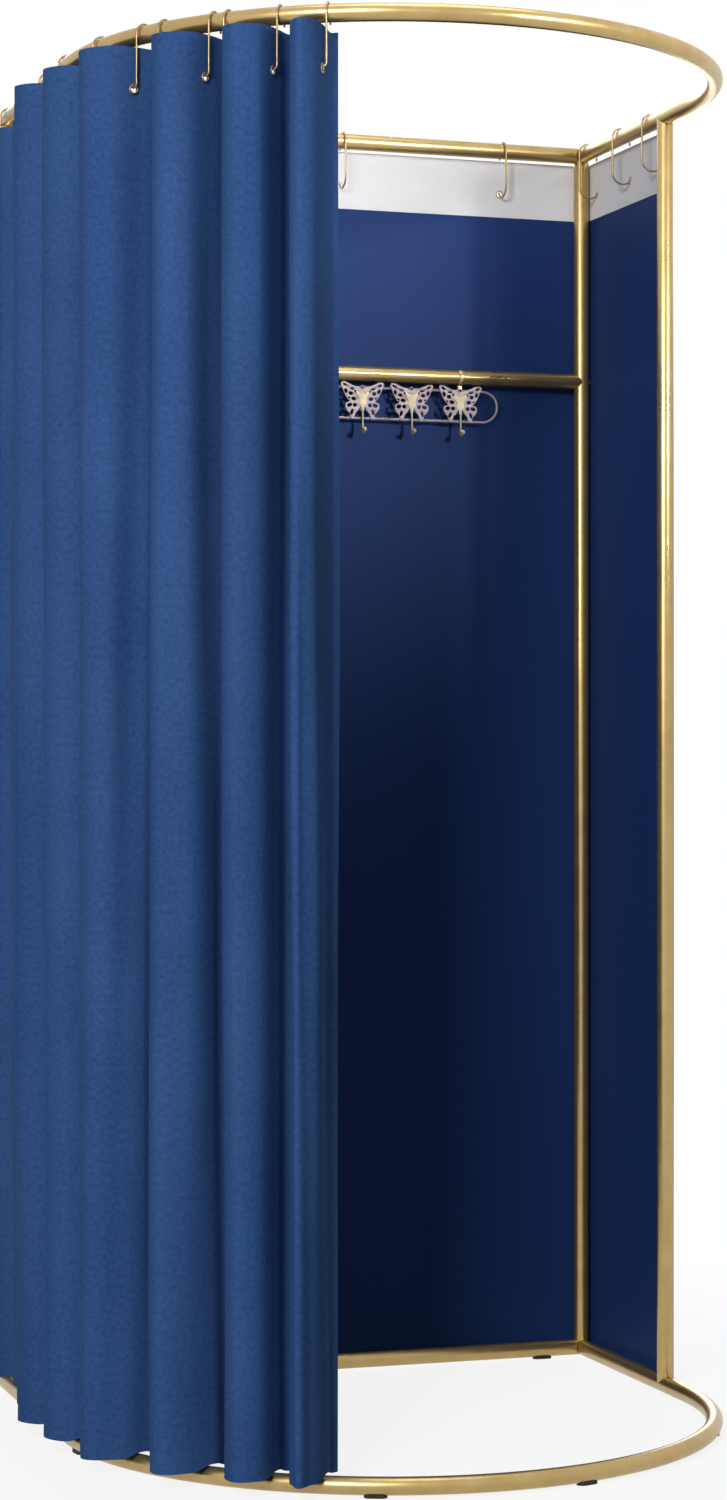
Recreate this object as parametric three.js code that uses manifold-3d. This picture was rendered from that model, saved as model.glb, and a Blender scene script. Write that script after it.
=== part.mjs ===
// A portable fitting room: a gold tube frame with a U-shaped ring at the floor and at the top, a gathered
// curtain on wire hooks, a flat liner at the back and on the right, and a coat rack of openwork butterflies.
// Millimetres, +Z up. The plan is drawn with +X to the right and +Y to the back, from the middle of the back
// rail. The doorway faces -Y. A station is a distance along the curtain's rail from the left back corner.
import * as THREE from 'three';
import { mergeVertices } from 'three/addons/utils/BufferGeometryUtils.js';
import Module from 'manifold-3d';

const wasm = await Module();
wasm.setup();

// Frame
const tubeDiameter = 25;
const tubeWall = 1.2;
const frameWidth = 968.5;
const sideRun = 425;
const frameHeight = 1975;
const frontPostInset = 80;
const midRailDrop = 375;
const seatGap = 0.3;
const plugLength = 50;
const plugClearance = 0.8;
const stubLength = 42;
const mitreGap = 0.3;
const mitreAngle = 45;

// Screws of the middle rail
const screwDiameter = 4.4;
const screwHeadDiameter = 9;
const screwHeadHeight = 2;
const screwLength = 40;
const screwClearance = 0.3;
const nutLength = 24;

// Rubber pads under the floor ring
const padLength = 32;
const padWidth = 16;
const padHeight = 5.4;
const padThickness = 3;
const padShares = [0.035, 0.3856, 0.5861, 0.8483];
const backPadInset = 70;

// Wire hooks
const wireDiameter = 3;
const loopClearance = 1.2;
const hookTailDrop = 12;
const hookDrop = 74.5;
const curlRadius = 5.5;
const linerCurlRadius = 18;
const linerCurlTurn = 150;
const curlTurn = 180;
const eyeletBore = 9;

// Liner cloth and its pale header band
const clothThickness = 1.6;
const linerStandOff = 17;
const headerTopDrop = 14;
const headerHeight = 92;
const seamGap = 0.6;
const linerHemRise = 0;
const linerFrontInset = 12;
const backHookShares = [0.1435, 0.4295, 0.7155, 0.95];
const sideHookShares = [0.087, 0.4928, 0.8406];

// Curtain
const curtainTopDrop = 18;
const curtainHemRise = 16;
const foldDepth = 65;
const valleyDepth = 45;
const curtainEdgeLap = 6;
const curtainFlatRun = 28;
const cornerHookRun = 21.5;

// Coat rack
const rackEndRun = 67;
const rackShift = 16;
const rackWireDiameter = 4;
const rackWireSpacing = 50;
const rackDrop = 22;
const rackBandThickness = 1.4;
const rackBandWidth = 12;
const butterflyCount = 7;
const butterflyPitch = 84.5;
const butterflyWidth = 73.5;
const butterflyHeight = 60;
const butterflyRise = 3.5;
const butterflyThickness = 1.6;
const butterflyGap = 0.3;
const coatHookWire = 3.2;
const coatHookRadius = 5;
const coatHookDrop = 22.5;
const coatHookBall = 8;

// Counts of facets
const tubeSides = 12;
const boreSides = 12;
const wireSides = 5;
const bendSteps = 32;
const loopSteps = 9;
const curlSteps = 6;
const padSteps = 5;
const keysPerFold = 4;
const stepsPerKey = 2;

const tubeRadius = tubeDiameter / 2;
const boreRadius = tubeRadius - tubeWall;
const plugRadius = boreRadius - plugClearance;
const wireRadius = wireDiameter / 2;
const halfWidth = frameWidth / 2;
const ringRadius = halfWidth;
const frontPostRun = sideRun - frontPostInset;
const arcLength = Math.PI * ringRadius;
const floorRing = padThickness + tubeRadius;
const topRing = floorRing + frameHeight;
const midRail = topRing - midRailDrop;
const overrun = tubeDiameter;

const gold = new THREE.MeshStandardMaterial({ color: 0xcdb27c, roughness: 0.22, metalness: 1 });
const wireBrass = new THREE.MeshStandardMaterial({ color: 0xb39a72, roughness: 0.3, metalness: 1 });
const roseGold = new THREE.MeshStandardMaterial({ color: 0xc9b0a2, roughness: 0.3, metalness: 1 });
const screwSteel = new THREE.MeshStandardMaterial({ color: 0x8f8468, roughness: 0.4, metalness: 1 });
const nylon = new THREE.MeshStandardMaterial({ color: 0x1c1c1e, roughness: 0.6, metalness: 0 });
const rubber = new THREE.MeshStandardMaterial({ color: 0x141414, roughness: 0.8, metalness: 0 });
const curtainCloth = new THREE.MeshStandardMaterial({ color: 0x39568a, roughness: 0.9, metalness: 0 });
const linerCloth = new THREE.MeshStandardMaterial({ color: 0x1d2b50, roughness: 0.85, metalness: 0 });
const headerCloth = new THREE.MeshStandardMaterial({ color: 0xdcdce0, roughness: 0.85, metalness: 0 });

const room = new THREE.Group();

// A closed three.js geometry as a solid that can be joined and cut.
function toSolid(geometry) {
  const bare = geometry.clone();
  bare.deleteAttribute('normal');
  bare.deleteAttribute('uv');
  const merged = mergeVertices(bare);
  return new wasm.Manifold(
    new wasm.Mesh({
      numProp: 3,
      vertProperties: new Float32Array(merged.attributes.position.array),
      triVerts: new Uint32Array(merged.index.array),
    }),
  );
}

// A solid as a geometry for a mesh.
function toGeometry(solid) {
  const mesh = solid.getMesh();
  const geometry = new THREE.BufferGeometry();
  geometry.setAttribute('position', new THREE.BufferAttribute(mesh.vertProperties, 3));
  geometry.setIndex(new THREE.BufferAttribute(mesh.triVerts, 1));
  geometry.computeVertexNormals();
  return geometry;
}

// Adds one named piece of the room.
function addPiece(name, shape, material) {
  const geometry = shape.isBufferGeometry ? shape : toGeometry(shape);
  const mesh = new THREE.Mesh(geometry, material);
  mesh.name = name;
  room.add(mesh);
}

// The corners of a regular polygon in a circle.
function polygon(radius, sides) {
  return Array.from({ length: sides }, (_, i) => {
    const angle = (2 * Math.PI * i) / sides;
    return new THREE.Vector2(radius * Math.cos(angle), radius * Math.sin(angle));
  });
}

// A path through chosen stations, which an extrusion follows one step per station.
class StationPath extends THREE.Curve {
  constructor(stations) {
    super();
    this.stations = stations;
  }

  getPoint(t, target = new THREE.Vector3()) {
    const place = THREE.MathUtils.clamp(t, 0, 1) * (this.stations.length - 1);
    const index = Math.min(Math.floor(place), this.stations.length - 2);
    return target.lerpVectors(this.stations[index], this.stations[index + 1], place - index);
  }

  getUtoTmapping(u) {
    return u;
  }
}

// A round bar, or a tube where it has a bore, along stations.
function sweep(stations, radius, sides, bore = 0) {
  const section = new THREE.Shape(polygon(radius, sides));
  if (bore > 0) {
    section.holes.push(new THREE.Path(polygon(bore, boreSides)));
  }
  return new THREE.ExtrudeGeometry(section, {
    steps: stations.length - 1,
    extrudePath: new StationPath(stations),
  });
}

// A straight round bar or tube between two points.
function bar(from, to, radius, bore = 0, sides = tubeSides) {
  return toSolid(sweep([from, to], radius, sides, bore));
}

const at = (x, y, z) => new THREE.Vector3(x, y, z);

// The plan place at a station of the curtain's rail, pushed outwards by an offset.
function railPlace(station, offset, height) {
  if (station <= sideRun) {
    return at(-halfWidth - offset, -station, height);
  }
  if (station >= sideRun + arcLength) {
    return at(halfWidth + offset, station - 2 * sideRun - arcLength, height);
  }
  const angle = (station - sideRun) / ringRadius - Math.PI / 2;
  const reach = ringRadius + offset;
  return at(reach * Math.sin(angle), -sideRun - reach * Math.cos(angle), height);
}

// The unit vectors along the rail and outwards from it at a station.
function railFrame(station) {
  const outward = railPlace(station, 1, 0).sub(railPlace(station, 0, 0));
  const along = new THREE.Vector3(-outward.y, outward.x, 0);
  return { along, outward };
}

// The station at a share of the front bend, from its left end.
function bendStation(share) {
  return sideRun + share * arcLength;
}

// The centreline of a ring's bend from past one back corner to past the other.
function bendStations(height) {
  const stations = [at(-halfWidth, overrun, height)];
  for (let i = 0; i <= bendSteps; i += 1) {
    stations.push(railPlace(sideRun + (arcLength * i) / bendSteps, 0, height));
  }
  stations.push(at(halfWidth, overrun, height));
  return stations;
}

// The block on one side of a back corner's mitre: the side of the back rail, or that of the bend.
function mitreBlock(side, height, ofRail) {
  const size = 4 * overrun;
  const normal = at(-side, 1, 0).normalize().multiplyScalar(ofRail ? 1 : -1);
  const centre = at(side * halfWidth, 0, height).addScaledVector(normal, (size - mitreGap) / 2);
  return toSolid(new THREE.BoxGeometry(size, size, size))
    .rotate([0, 0, mitreAngle])
    .translate(centre.toArray());
}

// A three-way plug that ties a back corner together: an arm in each ring tube and one in the post.
function cornerPlug(side, height, down) {
  const corner = at(side * halfWidth, 0, height);
  const arms = [at(-side * plugLength, 0, 0), at(0, -plugLength, 0), at(0, 0, down * plugLength)];
  return arms
    .map((arm) => bar(corner, corner.clone().add(arm), plugRadius))
    .reduce((whole, arm) => whole.add(arm))
    .add(toSolid(new THREE.IcosahedronGeometry(plugRadius, 1)).translate(corner.toArray()));
}

// The frame's rings: a bend with stubs for the front posts, and a back rail mitred to it.
function buildRing(label, height, inward) {
  const cutters = [-1, 1].map((side) => {
    const corner = at(side * halfWidth, 0, height);
    return bar(corner, at(corner.x, 0, height + inward * overrun), plugRadius + seatGap);
  });
  const rail = bar(
    at(-halfWidth - overrun, 0, height),
    at(halfWidth + overrun, 0, height),
    tubeRadius,
    boreRadius,
  );
  let bend = toSolid(sweep(bendStations(height), tubeRadius, tubeSides, boreRadius));
  let backRail = rail;
  [-1, 1].forEach((side, index) => {
    bend = bend.subtract(mitreBlock(side, height, true)).subtract(cutters[index]);
    backRail = backRail.subtract(mitreBlock(side, height, false)).subtract(cutters[index]);
    const root = at(side * halfWidth, -frontPostRun, height);
    const tip = at(root.x, root.y, height + inward * (tubeRadius + stubLength));
    bend = bend.add(bar(root, tip, plugRadius));
    const corner = side < 0 ? 'left' : 'right';
    addPiece(`${label}_${corner}_corner_plug`, cornerPlug(side, height, inward), nylon);
  });
  addPiece(`${label}_bend`, bend, gold);
  addPiece(`${label}_back_rail`, backRail, gold);
}

// The place of the wall screw of the middle rail, from the post outwards.
function screwLine(side) {
  return { seat: at(side * (halfWidth + tubeRadius + seatGap), 0, midRail), inward: -side };
}

// Posts with saddle ends on the ring tubes, and the middle rail between the back ones.
function buildPosts() {
  const ringCutters = [floorRing, topRing].flatMap((height) => [
    bar(at(-halfWidth - overrun, 0, height), at(halfWidth + overrun, 0, height), tubeRadius + seatGap),
    bar(at(-halfWidth, -sideRun, height), at(-halfWidth, overrun, height), tubeRadius + seatGap),
    bar(at(halfWidth, -sideRun, height), at(halfWidth, overrun, height), tubeRadius + seatGap),
  ]);
  const saddles = ringCutters.reduce((whole, cutter) => whole.add(cutter));
  for (const side of [-1, 1]) {
    const label = side < 0 ? 'left' : 'right';
    for (const [place, run] of [['back', 0], ['front', frontPostRun]]) {
      const x = side * halfWidth;
      let post = bar(at(x, -run, floorRing), at(x, -run, topRing), tubeRadius, boreRadius);
      post = post.subtract(saddles);
      if (run === 0) {
        const { seat } = screwLine(side);
        const reach = at(x - side * overrun, 0, midRail);
        post = post.subtract(bar(reach, seat, screwDiameter / 2 + screwClearance, 0, boreSides));
      }
      addPiece(`${label}_${place}_post`, post, gold);
    }
  }
}

function buildMidRail() {
  const from = at(-halfWidth, 0, midRail);
  const to = at(halfWidth, 0, midRail);
  let rail = bar(from, to, tubeRadius, boreRadius);
  for (const side of [-1, 1]) {
    const x = side * halfWidth;
    const nutEnd = at(x - side * (tubeRadius + nutLength), 0, midRail);
    rail = rail.add(bar(at(x, 0, midRail), nutEnd, boreRadius + tubeWall / 2));
    const threadEnd = at(nutEnd.x - side * overrun, 0, midRail);
    rail = rail.subtract(bar(at(x, 0, midRail), threadEnd, screwDiameter / 2 + screwClearance, 0, boreSides));
    rail = rail.subtract(
      bar(at(x, 0, midRail - overrun), at(x, 0, midRail + overrun), tubeRadius + seatGap),
    );
    const { seat, inward } = screwLine(side);
    const headTop = at(seat.x - inward * screwHeadHeight, 0, midRail);
    const shankEnd = at(seat.x + inward * screwLength, 0, midRail);
    const screw = bar(headTop, seat, screwHeadDiameter / 2, 0, boreSides).add(
      bar(headTop, shankEnd, screwDiameter / 2, 0, boreSides),
    );
    addPiece(`mid_rail_${side < 0 ? 'left' : 'right'}_screw`, screw, screwSteel);
  }
  addPiece('mid_rail', rail, gold);
}

// A stadium outline along X.
function stadium(length, width) {
  const radius = width / 2;
  const half = length / 2 - radius;
  const shape = new THREE.Shape();
  shape.moveTo(-half, -radius);
  shape.lineTo(half, -radius);
  shape.absarc(half, 0, radius, -Math.PI / 2, Math.PI / 2, false);
  shape.lineTo(-half, radius);
  shape.absarc(-half, 0, radius, Math.PI / 2, (3 * Math.PI) / 2, false);
  return shape;
}

// Rubber pads that cup the floor ring from below.
function buildPads() {
  const blank = () =>
    toSolid(
      new THREE.ExtrudeGeometry(stadium(padLength, padWidth), {
        depth: padHeight,
        bevelEnabled: false,
        curveSegments: padSteps,
      }),
    );
  const bendCutter = toSolid(sweep(bendStations(floorRing), tubeRadius + seatGap, tubeSides));
  padShares.forEach((share, index) => {
    const place = railPlace(bendStation(share), 0, 0);
    const { along } = railFrame(bendStation(share));
    const turn = THREE.MathUtils.radToDeg(Math.atan2(along.y, along.x));
    const pad = blank().rotate([0, 0, turn]).translate(place.toArray()).subtract(bendCutter);
    addPiece(`floor_pad_${index + 1}`, pad, rubber);
  });
  const railCutter = bar(
    at(-halfWidth, 0, floorRing),
    at(halfWidth, 0, floorRing),
    tubeRadius + seatGap,
  );
  for (const side of [-1, 1]) {
    const pad = blank().translate([side * (halfWidth - backPadInset), 0, 0]).subtract(railCutter);
    addPiece(`back_pad_${side < 0 ? 'left' : 'right'}`, pad, rubber);
  }
}

// The part of a wire hook that goes over the rail, in the plane across it: u away from the shank, w up.
function loopPoints() {
  const radius = tubeRadius + loopClearance + wireRadius;
  const flat = radius * Math.cos(Math.PI / (2 * loopSteps));
  const centre = tubeRadius + seatGap + wireRadius - flat;
  const points = [[radius, -hookTailDrop]];
  for (let i = 0; i <= loopSteps; i += 1) {
    const angle = (Math.PI * i) / loopSteps;
    points.push([radius * Math.cos(angle), centre + radius * Math.sin(angle)]);
  }
  return points;
}

const shankReach = tubeRadius + loopClearance + wireRadius;

// The end of a wire hook below its shank, which stands at a reach: a curl through a turn, in degrees.
function curlPoints(reach, radius, turn) {
  const low = -hookDrop + radius;
  return Array.from({ length: curlSteps + 1 }, (_, i) => {
    const angle = Math.PI + THREE.MathUtils.degToRad((turn * i) / curlSteps);
    return [reach + radius * (1 + Math.cos(angle)), low + radius * Math.sin(angle)];
  });
}

// The height over the rail's centre of a curl's upper side where it goes through cloth at a reach.
function wireTop(curl, reach, clothDepth) {
  const next = curl.findIndex(([u]) => u > reach);
  const [[u0, w0], [u1, w1]] = [curl[next - 1], curl[next]];
  const slope = (w1 - w0) / (u1 - u0);
  const middle = w0 + slope * (reach - u0);
  return middle + wireRadius * Math.hypot(1, slope) + (Math.abs(slope) * clothDepth) / 2;
}

const linerCurl = curlPoints(-shankReach, linerCurlRadius, linerCurlTurn);
const curtainCurl = curlPoints(0, curlRadius, curlTurn);

// A liner hook: its long shank curls back under the rail, through the cloth on the rail's far side.
function linerHook(place, far) {
  const stations = [...loopPoints(), ...linerCurl].map(([u, w]) =>
    place.clone().addScaledVector(far, u).setZ(topRing + w),
  );
  return sweep(stations, wireRadius, wireSides);
}

// A curtain hook: its shank hangs outside the rail, and its end curls sideways through the cloth.
function curtainHook(station, toward) {
  const { along, outward } = railFrame(station);
  const place = railPlace(station, 0, topRing);
  const over = loopPoints().map(([u, w]) => [-u, 0, w]);
  const curl = curtainCurl.map(([u, w]) => [shankReach, toward * u, w]);
  const stations = [...over, ...curl].map(([out, side, w]) =>
    place
      .clone()
      .addScaledVector(outward, out)
      .addScaledVector(along, side)
      .setZ(topRing + w),
  );
  return sweep(stations, wireRadius, wireSides);
}

// The cutter for an eyelet in cloth that hangs on a wire: its bore's top edge rests on the wire.
function eyeletCutter(place, direction, top) {
  const centre = place.clone().setZ(topRing + top + seatGap - eyeletBore / 2);
  const reach = direction.clone().multiplyScalar(eyeletBore);
  return bar(centre.clone().sub(reach), centre.clone().add(reach), eyeletBore / 2, 0, boreSides);
}

// A flat upright sheet of cloth.
function sheet(lowX, highX, lowY, highY, lowZ, highZ) {
  const width = highX - lowX;
  const depth = highY - lowY;
  const height = highZ - lowZ;
  const box = new THREE.BoxGeometry(width, depth, height);
  return toSolid(box).translate([lowX + width / 2, lowY + depth / 2, lowZ + height / 2]);
}

// The liner at the back and on the right, each with its header band and the hooks that carry it.
function buildLiner() {
  const inner = linerStandOff - clothThickness / 2;
  const outer = linerStandOff + clothThickness / 2;
  const headerTop = topRing - headerTopDrop;
  const headerFoot = headerTop - headerHeight;
  const hem = floorRing + linerHemRise;
  const right = halfWidth + inner - seatGap;
  const front = -frontPostRun + linerFrontInset;
  let backHeader = sheet(-halfWidth, right, inner, outer, headerFoot, headerTop);
  let sideHeader = sheet(halfWidth + inner, halfWidth + outer, front, outer, headerFoot, headerTop);
  const top = wireTop(linerCurl, linerStandOff, clothThickness);
  const behind = at(0, 1, 0);
  backHookShares.forEach((share, index) => {
    const place = at(halfWidth - share * frameWidth, 0, topRing);
    addPiece(`back_liner_hook_${index + 1}`, linerHook(place, behind), wireBrass);
    const pierced = at(place.x, linerStandOff, 0);
    backHeader = backHeader.subtract(eyeletCutter(pierced, behind, top));
  });
  const beyond = at(1, 0, 0);
  sideHookShares.forEach((share, index) => {
    const run = share * frontPostRun;
    const place = at(halfWidth, -run, topRing);
    addPiece(`side_liner_hook_${index + 1}`, linerHook(place, beyond), wireBrass);
    const pierced = at(halfWidth + linerStandOff, -run, 0);
    sideHeader = sideHeader.subtract(eyeletCutter(pierced, beyond, top));
  });
  addPiece('back_header', backHeader, headerCloth);
  addPiece('side_header', sideHeader, headerCloth);
  const seam = headerFoot - seamGap;
  addPiece('back_liner', sheet(-halfWidth, right, inner, outer, hem, seam), linerCloth);
  const sideLiner = sheet(halfWidth + inner, halfWidth + outer, front, outer, hem, seam);
  addPiece('side_liner', sideLiner, linerCloth);
}

// The curtain's folds in order from the left back corner: where each starts, and how far it swings out
// (positive) or in, as a share of the depth of a fold or a valley. The first table's starts are shares of
// the run from the curtain's flat edge, which laps the corner post, to the front post. The second's are
// shares of the bend. A hooked fold has a hook where it starts.
const sideFoldShares = [
  { startShare: 0.06, depthShare: -0.4 },
  { startShare: 0.14, depthShare: 0.19 },
  { startShare: 0.401, depthShare: -0.8 },
  { startShare: 0.481, depthShare: 0.55, hooked: true },
  { startShare: 0.763, depthShare: -1 },
  { startShare: 0.85, depthShare: 0.95, hooked: true },
  { startShare: 1.15, depthShare: -1 },
];
const bendFoldShares = [
  { startShare: 0, depthShare: 0.77, hooked: true },
  { startShare: 0.0611, depthShare: -1 },
  { startShare: 0.0889, depthShare: 1, hooked: true },
  { startShare: 0.15, depthShare: -1, hooked: true },
  { startShare: 0.1822, depthShare: 1, hooked: true },
  { startShare: 0.2322, depthShare: -0.9, hooked: true },
  { startShare: 0.2528, depthShare: 1, hooked: true },
  { startShare: 0.2972, depthShare: -0.85, hooked: true },
  { startShare: 0.3139, depthShare: 1 },
  { startShare: 0.3406, depthShare: -0.87, hooked: true },
];
// The last fold is a half one, which ends at its deepest place, the curtain's free edge.
const curtainEndShare = 0.355;
// The hooks before the first one that travels. The cloth parts from the last of these on.
const sideHookCount = 3;

// Builds the curtain's plan: key places along a smooth line, with the index at which each fold starts.
function curtainPlan() {
  const sideFoldRun = frontPostRun - curtainFlatRun;
  const starts = [
    ...sideFoldShares.map((fold) => curtainFlatRun + fold.startShare * sideFoldRun),
    ...bendFoldShares.map((fold) => bendStation(fold.startShare)),
    bendStation(curtainEndShare),
  ];
  const keys = [
    [-curtainEdgeLap, linerStandOff],
    [curtainFlatRun, linerStandOff],
  ];
  const folds = [...sideFoldShares, ...bendFoldShares];
  const startKeys = [];
  folds.forEach((fold, index) => {
    const half = (starts[index + 1] - starts[index]) / 2;
    const depth = fold.depthShare * (fold.depthShare > 0 ? foldDepth : valleyDepth);
    const keyCount = index < folds.length - 1 ? keysPerFold : keysPerFold / 2 + 1;
    startKeys.push(keys.length);
    for (let i = 0; i < keyCount; i += 1) {
      const angle = (Math.PI * i) / keysPerFold;
      keys.push([starts[index] + half * (1 - Math.cos(angle)), depth * Math.sin(angle)]);
    }
  });
  const line = new THREE.CatmullRomCurve3(
    keys.map(([station, offset]) => railPlace(station, offset, 0)),
    false,
    'centripetal',
  );
  return { line, keys, folds, starts, startKeys };
}

// One closed stretch of hanging cloth along a plan line.
function clothStretch(line, from, to, steps) {
  const left = [];
  const right = [];
  for (let i = 0; i <= steps; i += 1) {
    const t = from + ((to - from) * i) / steps;
    const point = line.getPoint(t);
    const tangent = line.getTangent(t);
    const side = at(-tangent.y, tangent.x, 0).multiplyScalar(clothThickness / 2);
    left.push(new THREE.Vector2(point.x + side.x, point.y + side.y));
    right.push(new THREE.Vector2(point.x - side.x, point.y - side.y));
  }
  const outline = new THREE.Shape([...right, ...left.reverse()]);
  const depth = frameHeight - curtainTopDrop - curtainHemRise;
  const geometry = new THREE.ExtrudeGeometry(outline, { depth, bevelEnabled: false });
  return toSolid(geometry).translate([0, 0, floorRing + curtainHemRise]);
}

// The station at which the plan line first has an offset on its way out or in, near a crossing.
function flankStation(plan, fold, offset) {
  const rising = plan.folds[fold].depthShare > 0;
  const outside = rising ? fold : fold - 1;
  const first = plan.startKeys[outside];
  const sign = rising ? 1 : -1;
  const start = plan.starts[fold];
  const half = (plan.starts[outside + 1] - plan.starts[outside]) / 2;
  const depth = plan.keys[first + keysPerFold / 2][1];
  return start + sign * half * (1 - Math.sqrt(1 - (offset / depth) ** 2));
}

// The curtain: stretches of cloth between the hooks, each hung through an eyelet at its hook.
function buildCurtain() {
  const plan = curtainPlan();
  const last = plan.keys.length - 1;
  const corner = railPlace(cornerHookRun, 0, topRing);
  const beyond = railFrame(cornerHookRun).outward;
  addPiece('corner_hook', linerHook(corner, beyond), wireBrass);
  const held = railPlace(cornerHookRun, linerStandOff, topRing);
  let eyelets = eyeletCutter(held, beyond, wireTop(linerCurl, linerStandOff, clothThickness));
  const curtainTop = wireTop(curtainCurl, curlRadius, 5 * clothThickness);
  const cuts = [0];
  const hooked = [...plan.folds.keys()].filter((index) => plan.folds[index].hooked);
  hooked.forEach((index, order) => {
    const rising = plan.folds[index].depthShare > 0;
    const toward = rising ? 1 : -1;
    const flank = flankStation(plan, index, shankReach);
    const station = flank - toward * curlRadius * (ringRadius / (ringRadius + shankReach));
    const travelling = order - sideHookCount + 1;
    const name = travelling > 0 ? `curtain_hook_${travelling}` : `side_hook_${order + 1}`;
    addPiece(name, curtainHook(station, toward), wireBrass);
    const { along, outward } = railFrame(flank);
    const pierced = railPlace(flank, 0, 0).addScaledVector(outward, shankReach);
    eyelets = eyelets.add(eyeletCutter(pierced, along, curtainTop));
    if (travelling >= 0 && order < hooked.length - 1) {
      cuts.push((plan.startKeys[index] + (rising ? 1 / 2 : 0)) / last);
    }
  });
  cuts.push(1);
  const gapShare = seamGap / plan.line.getLength();
  cuts.slice(1).forEach((end, index) => {
    const from = cuts[index] + (index > 0 ? gapShare / 2 : 0);
    const to = end - (end < 1 ? gapShare / 2 : 0);
    const steps = Math.round((to - from) * last * stepsPerKey);
    const cloth = clothStretch(plan.line, from, to, steps).subtract(eyelets);
    addPiece(index === 0 ? 'curtain_side_folds' : `curtain_fold_${index}`, cloth, curtainCloth);
  });
}

// The half outlines of a butterfly and of the plate on its front, from head to tail, and the butterfly's
// windows, as shares of its width and height.
const wingShares = [
  [0.04, 0.33], [0.12, 0.36], [0.27, 0.43], [0.44, 0.5], [0.5, 0.46], [0.47, 0.33], [0.42, 0.2],
  [0.37, 0.08], [0.297, -0.02], [0.38, -0.08], [0.396, -0.15], [0.36, -0.27], [0.29, -0.365],
  [0.26, -0.49], [0.2, -0.5], [0.17, -0.37], [0.1, -0.27], [0.04, -0.17],
];
const bodyShares = [
  [0.04, 0.19], [0.145, 0.25], [0.12, 0.12], [0.085, 0.03], [0.09, -0.1], [0.045, -0.16], [0.02, -0.3],
];
const windowShares = [
  { x: 0.39, y: 0.4, along: 0.06, across: 0.028, turn: 35 },
  { x: 0.25, y: 0.325, along: 0.055, across: 0.03, turn: 20 },
  { x: 0.37, y: 0.25, along: 0.05, across: 0.032, turn: 70 },
  { x: 0.265, y: 0.19, along: 0.045, across: 0.04, turn: 0 },
  { x: 0.22, y: 0.06, along: 0.05, across: 0.035, turn: 15 },
  { x: 0.285, y: -0.14, along: 0.055, across: 0.04, turn: -20 },
  { x: 0.17, y: -0.12, along: 0.04, across: 0.04, turn: 0 },
  { x: 0.24, y: -0.31, along: 0.06, across: 0.03, turn: -70 },
];
const windowSides = 6;

// A flat shape as an upright plate whose back lies in the XZ plane.
function plate(outline, thickness) {
  const geometry = new THREE.ExtrudeGeometry(outline, { depth: thickness, bevelEnabled: false });
  return toSolid(geometry).rotate([90, 0, 0]);
}

// A symmetric outline from the shares of its right half.
function mirrored(shares) {
  const right = shares.map(([x, y]) => new THREE.Vector2(x * butterflyWidth, y * butterflyHeight));
  const left = right.map((point) => new THREE.Vector2(-point.x, point.y)).reverse();
  return new THREE.Shape([...left, ...right]);
}

function butterflyPlate() {
  let wings = plate(mirrored(wingShares), butterflyThickness);
  for (const { x, y, along, across, turn } of windowShares) {
    const angle = THREE.MathUtils.degToRad(turn);
    for (const side of [-1, 1]) {
      const corners = polygon(butterflyWidth, windowSides).map((corner) => {
        const reach = corner.x * along;
        const rise = corner.y * across;
        const px = x * butterflyWidth + reach * Math.cos(angle) - rise * Math.sin(angle);
        const py = y * butterflyHeight + reach * Math.sin(angle) + rise * Math.cos(angle);
        return new THREE.Vector2(side * px, py);
      });
      const window = plate(new THREE.Shape(corners), 3 * butterflyThickness);
      wings = wings.subtract(window.translate([0, butterflyThickness, 0]));
    }
  }
  return wings;
}

// One butterfly with the body and the ball-ended coat hook that are welded to its front.
function butterflyHook() {
  const front = -butterflyThickness;
  const hookLow = -butterflyHeight / 2 - coatHookDrop + coatHookRadius;
  const hookFace = front - coatHookWire / 2 + butterflyThickness / 2;
  const points = [at(0, hookFace, 0), at(0, hookFace, hookLow)];
  for (let i = 1; i <= curlSteps; i += 1) {
    const angle = (Math.PI * i) / curlSteps;
    const reach = coatHookRadius * (1 - Math.cos(angle));
    points.push(at(0, hookFace - reach, hookLow - coatHookRadius * Math.sin(angle)));
  }
  const tip = points[points.length - 1];
  const wire = toSolid(sweep(points, coatHookWire / 2, wireSides));
  const ball = toSolid(new THREE.IcosahedronGeometry(coatHookBall / 2, 0)).translate(tip.toArray());
  const body = plate(mirrored(bodyShares), butterflyThickness).translate([0, front / 2, 0]);
  return butterflyPlate().add(wire).add(ball).add(body);
}

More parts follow.
